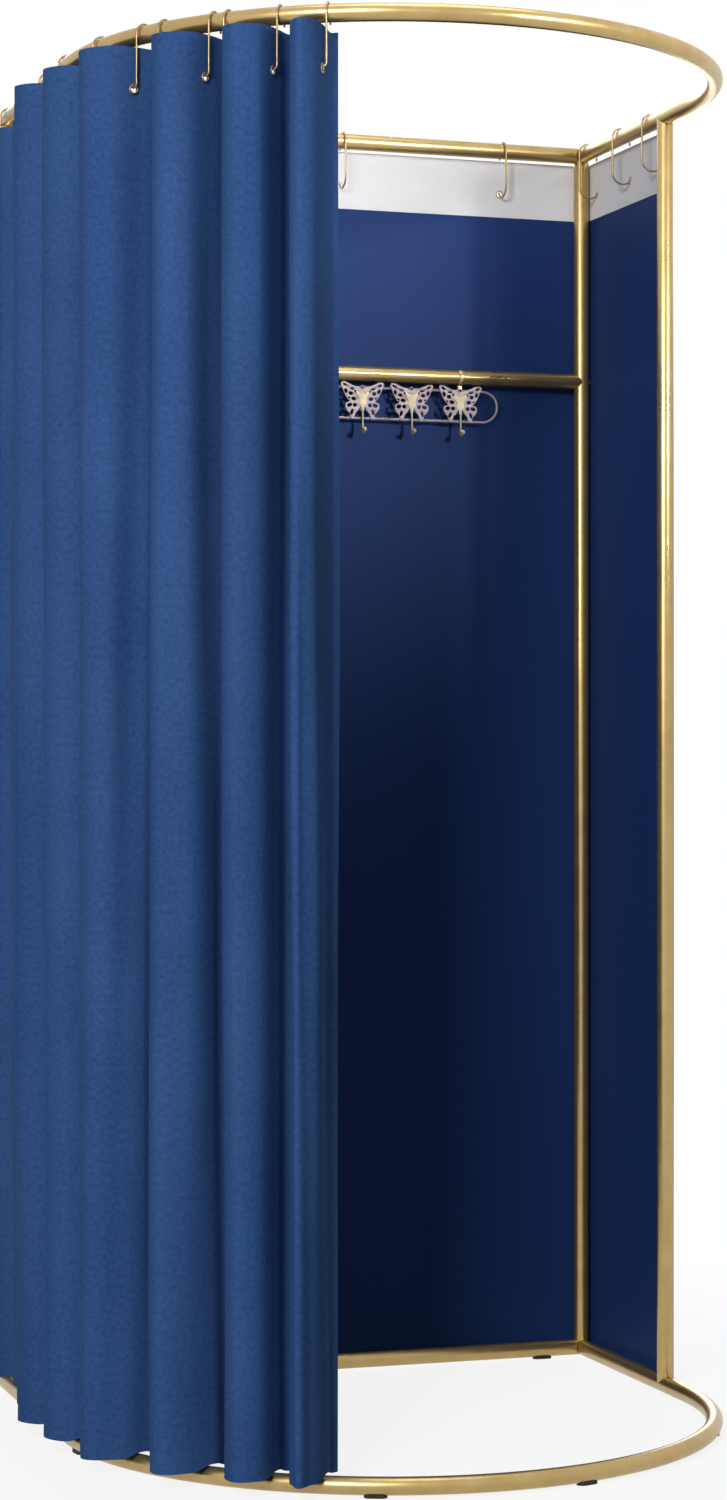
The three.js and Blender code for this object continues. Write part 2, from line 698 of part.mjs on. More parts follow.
// A stadium loop of wire hung under the middle rail by two welded bands, with a row of butterflies.
function buildRack() {
  const wire = rackWireDiameter / 2;
  const bend = rackWireSpacing / 2;
  const row = (butterflyCount - 1) * butterflyPitch;
  const half = row / 2 + rackEndRun - wire - bend;
  const high = midRail - rackDrop;
  const middle = high - bend;
  const stations = [];
  for (const side of [1, -1]) {
    for (let i = 0; i <= loopSteps; i += 1) {
      const angle = side * (Math.PI / 2 - (Math.PI * i) / loopSteps);
      const x = rackShift + side * (half + bend * Math.cos(angle));
      stations.push(at(x, 0, middle + bend * Math.sin(angle)));
    }
  }
  const runs = stations.slice(0, loopSteps + 1);
  const returns = stations.slice(loopSteps + 1);
  const rightEnd = toSolid(sweep(runs, wire, wireSides + 1));
  const leftEnd = toSolid(sweep(returns, wire, wireSides + 1));
  const [wireStart, wireEnd] = [-1, 1].map((side) => at(rackShift + side * (half + wire), 0, high));
  const topWire = bar(wireStart, wireEnd, wire, 0, wireSides + 1);
  const lowWire = topWire.translate([0, 0, -rackWireSpacing]);
  let rack = rightEnd.add(leftEnd).add(topWire).add(lowWire);
  const inner = tubeRadius + seatGap;
  for (const side of [-1, 1]) {
    const x = rackShift + (side * row) / 2;
    const from = at(x - rackBandWidth / 2, 0, midRail);
    const to = at(x + rackBandWidth / 2, 0, midRail);
    const band = bar(from, to, inner + rackBandThickness, 0, tubeSides)
      .add(sheet(from.x, to.x, -wire, wire, high - wire / 2, midRail))
      .subtract(bar(at(from.x - overrun, 0, midRail), at(to.x + overrun, 0, midRail), inner));
    rack = rack.add(band);
  }
  addPiece('rack_frame', rack, roseGold);
  const hook = butterflyHook();
  const face = -wire - butterflyGap;
  const centre = middle + butterflyRise;
  for (let i = 0; i < butterflyCount; i += 1) {
    const x = rackShift + i * butterflyPitch - row / 2;
    addPiece(`butterfly_hook_${i + 1}`, hook.translate([x, face, centre]), roseGold);
  }
}

buildRing('floor', floorRing, 1);
buildRing('top', topRing, -1);
buildPosts();
buildMidRail();
buildPads();
buildLiner();
buildCurtain();
buildRack();

// The origin is the middle of the whole outline in plan, on the floor.
const outline = new THREE.Box3().setFromObject(room);
const middle = outline.getCenter(new THREE.Vector3());
room.position.set(-middle.x, -middle.y, -outline.min.z);

export default room;
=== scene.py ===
"""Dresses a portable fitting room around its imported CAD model.

A gold tube frame with a U-shaped ring at the floor and at the top, a gathered curtain on wire hooks, a flat
liner with a pale header at the back and on the right, and a coat rack of openwork butterflies. Everything is
in metres, in the frame of the CAD model, with the doorway towards -Y.
"""
import logging
import math
from dataclasses import dataclass
from enum import Enum
from typing import Callable, Sequence

import bpy
import numpy as np
from mathutils import Euler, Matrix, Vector


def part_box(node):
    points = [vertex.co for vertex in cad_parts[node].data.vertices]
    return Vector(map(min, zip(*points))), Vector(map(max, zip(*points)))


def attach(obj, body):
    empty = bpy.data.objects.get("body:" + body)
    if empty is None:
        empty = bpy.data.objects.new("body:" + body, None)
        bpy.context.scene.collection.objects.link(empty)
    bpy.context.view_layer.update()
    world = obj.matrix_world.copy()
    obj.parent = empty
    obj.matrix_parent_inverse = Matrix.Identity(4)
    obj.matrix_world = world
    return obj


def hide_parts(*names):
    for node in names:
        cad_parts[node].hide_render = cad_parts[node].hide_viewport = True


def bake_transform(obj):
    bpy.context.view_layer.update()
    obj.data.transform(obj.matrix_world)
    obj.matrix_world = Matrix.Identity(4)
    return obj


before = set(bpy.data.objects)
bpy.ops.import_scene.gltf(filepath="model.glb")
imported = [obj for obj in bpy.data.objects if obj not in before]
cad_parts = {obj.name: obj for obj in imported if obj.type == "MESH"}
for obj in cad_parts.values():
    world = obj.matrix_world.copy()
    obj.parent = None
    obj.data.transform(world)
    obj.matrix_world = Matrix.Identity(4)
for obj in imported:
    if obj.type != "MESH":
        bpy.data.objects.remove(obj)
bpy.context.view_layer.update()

log = logging.getLogger("fitting_room")

ROOT = "frame"
CLOTH_MAP = "cloth"
MM = 0.001
WHITE = (1.0, 1.0, 1.0, 1.0)
ALONG_X = (0.0, math.pi / 2, 0.0)
ALONG_Y = (math.pi / 2, 0.0, 0.0)
Triple = tuple[float, float, float]
Outline = tuple[tuple[float, float], ...]
Material = bpy.types.Material
Piece = bpy.types.Object
Socket = bpy.types.NodeSocket


# Bench work: selecting, shaping and finishing a piece


def assign(target: object, **settings: object) -> None:
    """Sets attributes of something of Blender's."""
    for key, value in settings.items():
        setattr(target, key, value)


def clear_selection() -> None:
    """Leaves edit mode and deselects everything."""
    if bpy.context.object and bpy.context.object.mode != "OBJECT":
        bpy.ops.object.mode_set(mode="OBJECT")
    bpy.ops.object.select_all(action="DESELECT")


def pick(piece: Piece) -> None:
    """Makes one piece the only selected one and the active one.

    Args:
        piece: The piece.
    """
    clear_selection()
    piece.select_set(True)
    bpy.context.view_layer.objects.active = piece


def settle(piece: Piece, name: str) -> Piece:
    """Puts a new piece's place, turn and scale into its mesh, and names it.

    Args:
        piece: The new piece.
        name: The name for the object and for its mesh.

    Returns:
        The same piece, at the origin.
    """
    pick(piece)
    bpy.ops.object.transform_apply(location=True, rotation=True, scale=True)
    piece.name = piece.data.name = name
    return piece


def new(operator: Callable, name: str, scale: Triple = (1, 1, 1), **settings: object) -> Piece:
    """Adds a piece and settles it.

    Args:
        operator: Blender's operator that adds it.
        name: The name of the piece.
        scale: Its scale.
        **settings: What the operator is told.

    Returns:
        The piece, at the origin.
    """
    clear_selection()
    operator(**settings)
    bpy.context.object.scale = scale
    return settle(bpy.context.object, name)


def edit(piece: Piece, kind: str = "VERT") -> None:
    """Opens a piece in edit mode, with all of it selected.

    Args:
        piece: The piece.
        kind: What is selected on it: VERT, EDGE or FACE.
    """
    pick(piece)
    bpy.ops.object.mode_set(mode="EDIT")
    bpy.ops.mesh.select_mode(type=kind)
    bpy.ops.mesh.select_all(action="SELECT")


def turns(steps: int, angle: float = math.pi, start: float = 0.0) -> list[float]:
    """The angles at equal steps of a turn, with both its ends."""
    return [start + angle * i / steps for i in range(steps + 1)]


def done() -> None:
    """Goes back to object mode."""
    bpy.ops.object.mode_set(mode="OBJECT")


def clean(piece: Piece, merge: float = 1e-6) -> Piece:
    """Merges points that lie together and turns all faces outwards.

    Args:
        piece: The piece.
        merge: How near to each other points are to be merged.

    Returns:
        The same piece.
    """
    edit(piece)
    bpy.ops.mesh.remove_doubles(threshold=merge)
    bpy.ops.mesh.normals_make_consistent(inside=False)
    done()
    return piece


def apply_modifier(piece: Piece, kind: str, **settings: object) -> None:
    """Adds a modifier with its settings and applies it.

    Args:
        piece: The piece to change.
        kind: Blender's name of the modifier type.
        **settings: Attributes of the modifier.
    """
    pick(piece)
    bpy.ops.object.modifier_add(type=kind)
    modifier = piece.modifiers[-1]
    assign(modifier, **settings)
    bpy.ops.object.modifier_apply(modifier=modifier.name)


def smooth(piece: Piece, angle: float = 40.0) -> Piece:
    """Shades a piece smooth.

    Args:
        piece: The piece.
        angle: The angle in degrees up to which faces are shaded as one.

    Returns:
        The same piece.
    """
    pick(piece)
    bpy.ops.object.shade_smooth_by_angle(angle=math.radians(angle))
    return piece


def coordinates(piece: Piece) -> np.ndarray:
    """Reads the points of a piece's mesh.

    Args:
        piece: The piece.

    Returns:
        The points, one row each.
    """
    points = np.empty(len(piece.data.vertices) * 3)
    piece.data.vertices.foreach_get("co", points)
    return points.reshape(-1, 3)


def put_coordinates(piece: Piece, points: np.ndarray) -> None:
    """Moves the points of a piece's mesh."""
    piece.data.vertices.foreach_set("co", points.ravel())
    piece.data.update()


def dress(piece: Piece, material: Material) -> Piece:
    """Gives a piece one material all over.

    Args:
        piece: The piece.
        material: The material.

    Returns:
        The same piece.
    """
    piece.data.materials.clear()
    piece.data.materials.append(material)
    return piece


def mount(piece: Piece, node: str = "", body: str = ROOT) -> None:
    """Lets a piece ride on a body, and stand for a node if one is named.

    Args:
        piece: The piece.
        node: The node that it stands for.
        body: The body that carries it.
    """
    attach(piece, body)
    if node:
        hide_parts(node)
    log.info("%s rides on %s", piece.name, body)


def join(parts: Sequence[Piece], name: str) -> Piece:
    """Joins parts into the first of them.

    Args:
        parts: The parts.
        name: The name of the whole.

    Returns:
        The whole.
    """
    pick(parts[0])
    for part in parts:
        part.select_set(True)
    bpy.ops.object.join()
    return settle(parts[0], name)


def wire(name: str, points: Sequence[Vector], radius: float, closed: bool = False) -> Piece:
    """Bends a round wire along points.

    Args:
        name: The name of the piece.
        points: The middle of the wire, in order.
        radius: Half the wire's diameter.
        closed: Whether the wire's ends meet.

    Returns:
        The wire as a mesh.
    """
    clear_selection()
    bpy.ops.curve.primitive_nurbs_path_add(location=(0, 0, 0))
    path = bpy.context.object
    path.data.splines.clear()
    spline = path.data.splines.new("POLY")
    spline.points.add(len(points) - 1)
    for knot, point in zip(spline.points, points):
        knot.co = (*point, 1)
    assign(spline, use_cyclic_u=closed, use_smooth=True)
    assign(path.data, bevel_depth=radius, bevel_resolution=4, use_fill_caps=not closed, twist_mode="MINIMUM")
    bpy.ops.object.convert(target="MESH")
    return smooth(settle(clean(path, merge=1e-5), name), angle=50)


def sew(name: str, cells: tuple[int, int], shape: Callable, thickness: float, material: Material) -> Piece:
    """Makes a cloth that carries its own map, in metres.

    Args:
        name: The name of the piece.
        cells: How many cells it has across and up.
        shape: Gives, for each point's share across and up, its place and how far along the cloth it lies.
        thickness: How thick the cloth is.
        material: What it is dressed in.

    Returns:
        The cloth.
    """
    piece = new(bpy.ops.mesh.primitive_grid_add, name, x_subdivisions=cells[0], y_subdivisions=cells[1], size=1)
    shares = coordinates(piece) + 0.5
    points, run = shape(shares[:, 0], shares[:, 1])
    put_coordinates(piece, points)
    layer = piece.data.uv_layers[0]
    layer.name = CLOTH_MAP
    corners = np.empty(len(piece.data.loops), dtype=np.int32)
    piece.data.loops.foreach_get("vertex_index", corners)
    layer.data.foreach_set("uv", np.stack([run, points[:, 2]], axis=1)[corners].ravel())
    clean(piece)
    apply_modifier(piece, "SOLIDIFY", thickness=thickness, offset=0.0)
    return smooth(dress(piece, material))


# Plan of the frame


@dataclass(frozen=True)
class RoomPlan:
    """The centrelines of the frame, in the CAD model's own plan.

    A station is a distance along the curtain's rail from the left back corner: along the left side, and
    then round the bend.
    """

    origin_x: float
    origin_y: float
    floor_ring: float
    top_ring: float
    mid_rail: float
    half_width: float = 484.25 * MM
    side_run: float = 425 * MM
    front_post_run: float = 345 * MM
    tube_radius: float = 12.5 * MM
    seat_gap: float = 0.3 * MM

    @classmethod
    def read(cls) -> "RoomPlan":
        """Finds the frame's centrelines from the nodes that stand on them.

        Returns:
            The plan.
        """
        floor, top, middle = (
            sum((Vector(corner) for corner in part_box(node)), Vector()) / 2
            for node in ("floor_back_rail", "top_back_rail", "mid_rail")
        )
        return cls(floor.x, floor.y, floor.z, top.z, middle.z)

    @property
    def bend_centre(self) -> Vector:
        """The middle of the bend in plan."""
        return self.at(0, -self.side_run)

    def at(self, x: float, y: float, z: float = 0) -> Vector:
        """The place in the scene of a point in the plan."""
        return Vector((self.origin_x + x, self.origin_y + y, z))

    def bend_station(self, share: float) -> float:
        """The station at a share of the bend from its left end."""
        return self.side_run + share * math.pi * self.half_width

    def place(self, station: float, offset: float = 0, height: float = 0) -> Vector:
        """The place at a station of the rail.

        Args:
            station: The distance along the rail.
            offset: How far outside the rail's middle.
            height: The height over the floor.

        Returns:
            The place in the scene.
        """
        reach = self.half_width + offset
        if station <= self.side_run:
            return self.at(-reach, -station, height)
        angle = (station - self.side_run) / self.half_width - math.pi / 2
        return self.at(reach * math.sin(angle), -self.side_run - reach * math.cos(angle), height)

    def directions(self, station: float) -> tuple[Vector, Vector]:
        """The unit vectors along the rail and out of it at a station."""
        outward = self.place(station, 1) - self.place(station)
        return Vector((-outward.y, outward.x, 0)), outward


# Node groups and finishes


class Effect(Enum):
    """The effects that finishes share, each a node group."""

    MOTTLE = "mottle"
    WEAVE = "weave"
    HANDLING = "handling"


class Graph:
    """A node tree, with short calls that add nodes and link them."""

    def __init__(self, tree: bpy.types.NodeTree) -> None:
        """Starts on an empty tree."""
        self.tree = tree
        tree.nodes.clear()

    def add(self, kind: str, inputs: dict | None = None, **settings: object) -> bpy.types.NodeOutputs:
        """Adds a node.

        Args:
            kind: Blender's name of the node type.
            inputs: For an input's name or number, the value it holds or the socket that feeds it.
            **settings: Attributes of the node.

        Returns:
            The node's outputs.
        """
        node = self.tree.nodes.new(kind)
        assign(node, **settings)
        for key, value in (inputs or {}).items():
            if isinstance(value, Socket):
                self.tree.links.new(value, node.inputs[key])
            else:
                node.inputs[key].default_value = value
        return node.outputs

    def maths(self, operation: str, *values: object) -> Socket:
        """Adds one step of arithmetic and gives its result."""
        return self.add("ShaderNodeMath", dict(enumerate(values)), operation=operation)[0]

    def spread(self, value: Socket, *ends: object) -> Socket:
        """Spreads a value from between two ends over 0..1, or over two more ends."""
        return self.add("ShaderNodeMapRange", {0: value, **dict(enumerate(ends, 1))})[0]

    def noise(self, vector: Socket, scale: object, detail: float, roughness: float = 0.5) -> Socket:
        """Adds a noise texture and gives its value."""
        inputs = {"Vector": vector, "Scale": scale, "Detail": detail, "Roughness": roughness}
        return self.add("ShaderNodeTexNoise", inputs)[0]

    def stretch(self, vector: Socket, scale: Triple) -> Socket:
        """Scales a vector."""
        return self.add("ShaderNodeMapping", {"Vector": vector, "Scale": scale})[0]

    def effect(self, effect: Effect, inputs: dict) -> bpy.types.NodeOutputs:
        """Places an effect's node group, which is made at its first use."""
        tree = bpy.data.node_groups.get(effect.value) or EffectGroup(effect).tree
        return self.add("ShaderNodeGroup", inputs, node_tree=tree)

    def seen(self) -> Socket:
        """Tells what is seen from what gives light.

        Returns:
            One for what the camera sees, also in gloss or through glass, and zero for light.
        """
        path = self.add("ShaderNodeLightPath")
        seen = self.maths("ADD", path["Is Camera Ray"], path["Is Glossy Ray"])
        return self.maths("MINIMUM", self.maths("ADD", seen, path["Is Transmission Ray"]), 1.0)

    def mix(self, share: object, first: Socket, second: Socket) -> Socket:
        """Mixes two shaders by a share."""
        return self.add("ShaderNodeMixShader", {0: share, 1: first, 2: second})[0]


class EffectGroup(Graph):
    """The node group of an effect, which takes the sockets in and out that are listed here."""

    NUMBER, TINT, ARROW = "NodeSocketFloat", "NodeSocketColor", "NodeSocketVector"
    SOCKETS = {
        Effect.MOTTLE: (
            {"Vector": ARROW, "Dark": TINT, "Light": TINT, "Fleck Scale": NUMBER, "Cloud Scale": NUMBER},
            {"Color": TINT},
        ),
        Effect.WEAVE: ({"Vector": ARROW, "Threads": NUMBER}, {"Height": NUMBER}),
        Effect.HANDLING: (
            {"Vector": ARROW, "Least": NUMBER, "Most": NUMBER, "Scratch Scale": NUMBER},
            {"Roughness": NUMBER, "Height": NUMBER},
        ),
    }

    def __init__(self, effect: Effect) -> None:
        """Makes the group.

        Args:
            effect: The effect.
        """
        super().__init__(bpy.data.node_groups.new(effect.value, "ShaderNodeTree"))
        for side, sockets in zip(("INPUT", "OUTPUT"), self.SOCKETS[effect]):
            for name, kind in sockets.items():
                self.tree.interface.new_socket(name=name, in_out=side, socket_type=kind)
        self.given = self.add("NodeGroupInput")
        makers = {Effect.MOTTLE: self.mottle, Effect.WEAVE: self.weave, Effect.HANDLING: self.handling}
        self.add("NodeGroupOutput", makers[effect]())

    def mottle(self) -> dict[str, Socket]:
        """Lays clouds and flecks of two colours through one another.

        Returns:
            The colour.
        """
        fleck_share, low, high = 0.65, 0.36, 0.64
        flecks = self.noise(self.given["Vector"], self.given["Fleck Scale"], detail=3.0, roughness=0.6)
        clouds = self.noise(self.given["Vector"], self.given["Cloud Scale"], detail=2.0)
        clouds = self.maths("MULTIPLY", clouds, 1 - fleck_share)
        share = self.spread(self.maths("MULTIPLY_ADD", flecks, fleck_share, clouds), low, high)
        factor, first, second, result = 0, 6, 7, 2
        colours = {factor: share, first: self.given["Dark"], second: self.given["Light"]}
        return {"Color": self.add("ShaderNodeMix", colours, data_type="RGBA")[result]}

    def weave(self) -> dict[str, Socket]:
        """Weaves plain cloth, whose threads vary a little in thickness.

        Returns:
            The height of the weave.
        """
        thread_share, slub_share, slub_scale, slub_stretch = 0.3, 0.5, 420.0, 0.05
        split = self.add("ShaderNodeSeparateXYZ", {0: self.given["Vector"]})
        turn = self.maths("MULTIPLY", self.given["Threads"], math.pi)
        waves = [self.maths("SINE", self.maths("MULTIPLY", split[axis], turn)) for axis in (0, 1)]
        uneven = [
            self.noise(self.stretch(self.given["Vector"], scale), slub_scale, detail=2.0)
            for scale in ((slub_stretch, 1, 1), (1, slub_stretch, 1))
        ]
        slubs = self.maths("MULTIPLY", self.maths("ADD", *uneven), slub_share)
        return {"Height": self.maths("MULTIPLY_ADD", self.maths("MULTIPLY", *waves), thread_share, slubs)}

    def handling(self) -> dict[str, Socket]:
        """Leaves the marks of handling on a hard surface.

        Returns:
            A roughness with smudges, and fine scratches as a height.
        """
        smudge_scale, low, high, scratch_stretch = 14.0, 0.35, 0.7, 0.08
        smudges = self.noise(self.given["Vector"], smudge_scale, detail=4.0)
        drawn = self.stretch(self.given["Vector"], (1, 1, scratch_stretch))
        return {
            "Roughness": self.spread(smudges, low, high, self.given["Least"], self.given["Most"]),
            "Height": self.noise(drawn, self.given["Scratch Scale"], detail=3.0),
        }


def open_material(name: str) -> Graph:
    """Starts a material.

    Args:
        name: Its name.

    Returns:
        Its graph, still empty.
    """
    material = bpy.data.materials.new(name)
    material.use_nodes = True
    return Graph(material.node_tree)


@dataclass(frozen=True)
class Finish:
    """What every finish has: a name, and two near colours that are mottled through one another."""

    name: str
    dark: Triple
    light: Triple

    def surface(
        self, graph: Graph, place: Socket, scales: tuple[float, float], relief: dict, shader: dict
    ) -> Material:
        """Puts the colours, a relief and a Principled BSDF together.

        Args:
            graph: The material's graph.
            place: Where the pattern is looked up.
            scales: The scales of the flecks and of the clouds.
            relief: The inputs of the bump.
            shader: The other inputs of the shader.

        Returns:
            The material.
        """
        tint = {"Vector": place, "Dark": (*self.dark, 1), "Light": (*self.light, 1)}
        tint |= {"Fleck Scale": scales[0], "Cloud Scale": scales[1]}
        shader["Base Color"] = graph.effect(Effect.MOTTLE, tint)["Color"]
        shader["Normal"] = graph.add("ShaderNodeBump", relief)[0]
        result = graph.add("ShaderNodeBsdfPrincipled", shader)[0]
        graph.add("ShaderNodeOutputMaterial", {"Surface": result})
        return bpy.data.materials[self.name]


@dataclass(frozen=True)
class HardFinish(Finish):
    """A plated metal or a moulded plastic, with smudges in its gloss and hairline scratches or a grain."""

    roughness: tuple[float, float]
    metallic: float = 1.0
    scales: tuple[float, float] = (30.0, 6.0)
    scratch_scale: float = 600.0
    relief: tuple[float, float] = (0.12, 0.006 * MM)

    def build(self) -> Material:
        """Makes the material.

        Returns:
            The material.
        """
        graph = open_material(self.name)
        place = graph.add("ShaderNodeTexCoord")["Object"]
        least, most = self.roughness
        handled = {"Vector": place, "Least": least, "Most": most, "Scratch Scale": self.scratch_scale}
        marks = graph.effect(Effect.HANDLING, handled)
        strength, depth = self.relief
        relief = {"Strength": strength, "Distance": depth, "Height": marks["Height"]}
        shader = {"Metallic": self.metallic, "Roughness": marks["Roughness"]}
        return self.surface(graph, place, self.scales, relief, shader)


@dataclass(frozen=True)
class ClothFinish(Finish):
    """A woven cloth with its weave as a relief and a little sheen, patterned along its own map."""

    roughness: float
    sheen: float
    threads: float
    thread_depth: float
    scales: tuple[float, float]
    specular: float = 0.25
    sheen_roughness: float = 0.45
    relief: float = 0.5

    def build(self) -> Material:
        """Makes the material.

        Returns:
            The material.
        """
        graph = open_material(self.name)
        place = graph.add("ShaderNodeUVMap", uv_map=CLOTH_MAP)[0]
        height = graph.effect(Effect.WEAVE, {"Vector": place, "Threads": self.threads})["Height"]
        relief = {"Strength": self.relief, "Distance": self.thread_depth, "Height": height}
        shader = {
            "Roughness": self.roughness,
            "Specular IOR Level": self.specular,
            "Sheen Weight": self.sheen,
            "Sheen Roughness": self.sheen_roughness,
            "Sheen Tint": (*self.light, 1),
        }
        return self.surface(graph, place, self.scales, relief, shader)


class Finishes:
    """Every material of the room."""

    def __init__(self) -> None:
        """Builds the materials."""
        moulded = {"metallic": 0.0, "scales": (400.0, 40.0), "scratch_scale": 1800.0}
        moulded["relief"] = (0.4, 0.05 * MM)
        self.gold = HardFinish(
            "satin_gold", (0.46, 0.32, 0.125), (0.53, 0.385, 0.165), roughness=(0.27, 0.34), metallic=0.8
        ).build()
        self.wire = HardFinish(
            "brass_wire", (0.31, 0.22, 0.11), (0.38, 0.28, 0.15), roughness=(0.34, 0.44), metallic=0.8
        ).build()
        self.rose = HardFinish(
            "champagne_plate", (0.31, 0.26, 0.27), (0.40, 0.34, 0.35), roughness=(0.56, 0.64), metallic=0.6
        ).build()
        self.pale = HardFinish(
            "pale_gold", (0.50, 0.43, 0.27), (0.58, 0.50, 0.33), roughness=(0.56, 0.64), metallic=0.6
        ).build()
        self.steel = HardFinish(
            "screw_steel", (0.34, 0.29, 0.18), (0.42, 0.36, 0.24), roughness=(0.28, 0.42)
        ).build()
        self.nylon = HardFinish(
            "black_nylon", (0.010, 0.010, 0.011), (0.016, 0.016, 0.018), roughness=(0.5, 0.65), **moulded
        ).build()
        self.rubber = HardFinish(
            "black_rubber", (0.007, 0.007, 0.007), (0.02, 0.02, 0.019), roughness=(0.7, 0.9), **moulded
        ).build()
        self.curtain = ClothFinish(
            "curtain_weave", (0.026, 0.075, 0.222), (0.045, 0.112, 0.295), roughness=0.85, sheen=0.06,
            threads=700.0, thread_depth=0.35 * MM, scales=(150.0, 4.0), specular=0.1,
        ).build()
        self.liner = ClothFinish(
            "liner_weave", (0.0105, 0.033, 0.135), (0.0135, 0.040, 0.158), roughness=0.55, sheen=0.0,
            threads=1500.0, thread_depth=0.08 * MM, scales=(260.0, 2.0), specular=0.1,
        ).build()
        self.header = ClothFinish(
            "header_weave", (0.72, 0.72, 0.745), (0.76, 0.76, 0.78), roughness=0.75, sheen=0.05,
            threads=1300.0, thread_depth=0.1 * MM, scales=(240.0, 3.0),
        ).build()


@dataclass
class Assembly:
    """A part of the room, which keeps to the frame's plan and takes its looks from the finishes."""

    plan: RoomPlan
    finishes: Finishes


# Frame


@dataclass
class TubeFrame(Assembly):
    """The gold tube frame: two rings with mitred back corners, four posts and the middle rail."""

    sides: int = 48
    bend_steps: int = 112
    wall: float = 1.2 * MM
    mitre_gap: float = 0.3 * MM
    edge_break: float = 0.35 * MM

    def build(self) -> None:
        """Builds the frame's tubes and lays them over their nodes."""
        plan = self.plan
        half, spare = plan.half_width, 2 * plan.tube_radius
        for label, height in (("floor", plan.floor_ring), ("top", plan.top_ring)):
            back = Vector((0, -plan.side_run - spare, 0))
            bend = self.tube(plan.at(-half, spare, height), ALONG_Y, back, round_bend=True)
            rail = self.tube(plan.at(-half - spare, 0, height), ALONG_X, Vector((2 * (half + spare), 0, 0)))
            for piece, node in ((bend, "bend"), (rail, "back_rail")):
                self.cut_mitres(piece, height, of_rail=piece is rail)
                self.finish(piece, f"{label}_{node}")
        for side, label in ((-1, "left"), (1, "right")):
            for place, run in (("back", 0.0), ("front", plan.front_post_run)):
                foot = plan.at(side * half, -run, plan.floor_ring)
                post = self.tube(foot, (0, 0, 0), Vector((0, 0, plan.top_ring - plan.floor_ring)))
                self.seat(post, foot, plan.top_ring, 2, [0] if run else [0, 1])
                self.finish(post, f"{label}_{place}_post")
        start = plan.at(-half, 0, plan.mid_rail)
        rail = self.tube(start, ALONG_X, Vector((2 * half, 0, 0)))
        self.seat(rail, start, start.x + 2 * half, 0, [1])
        self.finish(rail, "mid_rail")

    def finish(self, piece: Piece, node: str) -> None:
        """Gives a tube its wall, its broken edges and its plating.

        Args:
            piece: The tube.
            node: The node that it stands for.
        """
        apply_modifier(piece, "SOLIDIFY", thickness=self.wall, offset=-1.0)
        edges = {"segments": 2, "limit_method": "ANGLE", "angle_limit": math.radians(40)}
        apply_modifier(piece, "BEVEL", width=self.edge_break, **edges)
        mount(smooth(dress(settle(piece, f"{node}_tube"), self.finishes.gold)), node)

    def tube(self, start: Vector, turn: Triple, reach: Vector, round_bend: bool = False) -> Piece:
        """Draws the outside of a tube out from a hoop.

        Args:
            start: The middle of the hoop.
            turn: The hoop's turn.
            reach: How far the tube goes straight.
            round_bend: Whether it then goes round the bend and as far back.

        Returns:
            The tube, open at both ends.
        """
        hoop = {"vertices": self.sides, "radius": self.plan.tube_radius, "location": start, "rotation": turn}
        piece = new(bpy.ops.mesh.primitive_circle_add, "tube", **hoop)
        edit(piece)
        bpy.ops.mesh.extrude_region_move(TRANSFORM_OT_translate={"value": tuple(reach)})
        if round_bend:
            centre = (*self.plan.bend_centre[:2], start.z)
            bpy.ops.mesh.spin(steps=self.bend_steps, angle=-math.pi, center=centre, axis=(0, 0, 1))
            bpy.ops.mesh.extrude_region_move(TRANSFORM_OT_translate={"value": tuple(-reach)})
        done()
        return clean(piece)

    def cut_mitres(self, piece: Piece, height: float, of_rail: bool) -> None:
        """Cuts a tube's ends at 45 degrees through the back corners.

        Args:
            piece: The tube.
            height: The height of the ring.
            of_rail: True for the back rail, which keeps the corner's inner side of the cut.
        """
        middle = self.plan.bend_centre
        for side in (-1, 1):
            keep = Vector((-side, 1, 0)).normalized() * (1 if of_rail else -1)
            corner = self.plan.at(side * self.plan.half_width, 0, height) + keep * self.mitre_gap / 2
            edit(piece, "FACE")
            bpy.ops.mesh.select_all(action="DESELECT")
            done()
            for face in piece.data.polygons:
                beside = (face.center.x - middle.x) * side > 0 and face.center.y > middle.y
                face.select = of_rail or beside
            bpy.ops.object.mode_set(mode="EDIT")
            bpy.ops.mesh.bisect(plane_co=corner, plane_no=keep, clear_inner=True)
            done()

    def seat(self, piece: Piece, start: Vector, end: float, axis: int, across: list[int]) -> None:
        """Cuts both ends of a straight tube to the tubes that it meets.

        Args:
            piece: The tube.
            start: The middle of its first end.
            end: Where its other end lies on its axis.
            axis: The number of its axis.
            across: The axes on which the tubes that it meets have their width.
        """
        radius = self.plan.tube_radius
        points = coordinates(piece)
        away = np.abs(points[:, across] - np.array(start)[across]).min(axis=1)
        depth = np.sqrt((radius + self.plan.seat_gap) ** 2 - np.minimum(away, radius) ** 2)
        low = points[:, axis] < (start[axis] + end) / 2
        points[:, axis] = np.where(low, start[axis] + depth, end - depth)
        put_coordinates(piece, points)


# Cloth on hooks


class Curl(Enum):
    """How a hook ends: the radius of its curl, and the degrees that it turns."""

    LINER = (18 * MM, 150.0)
    CURTAIN = (5.5 * MM, 180.0)


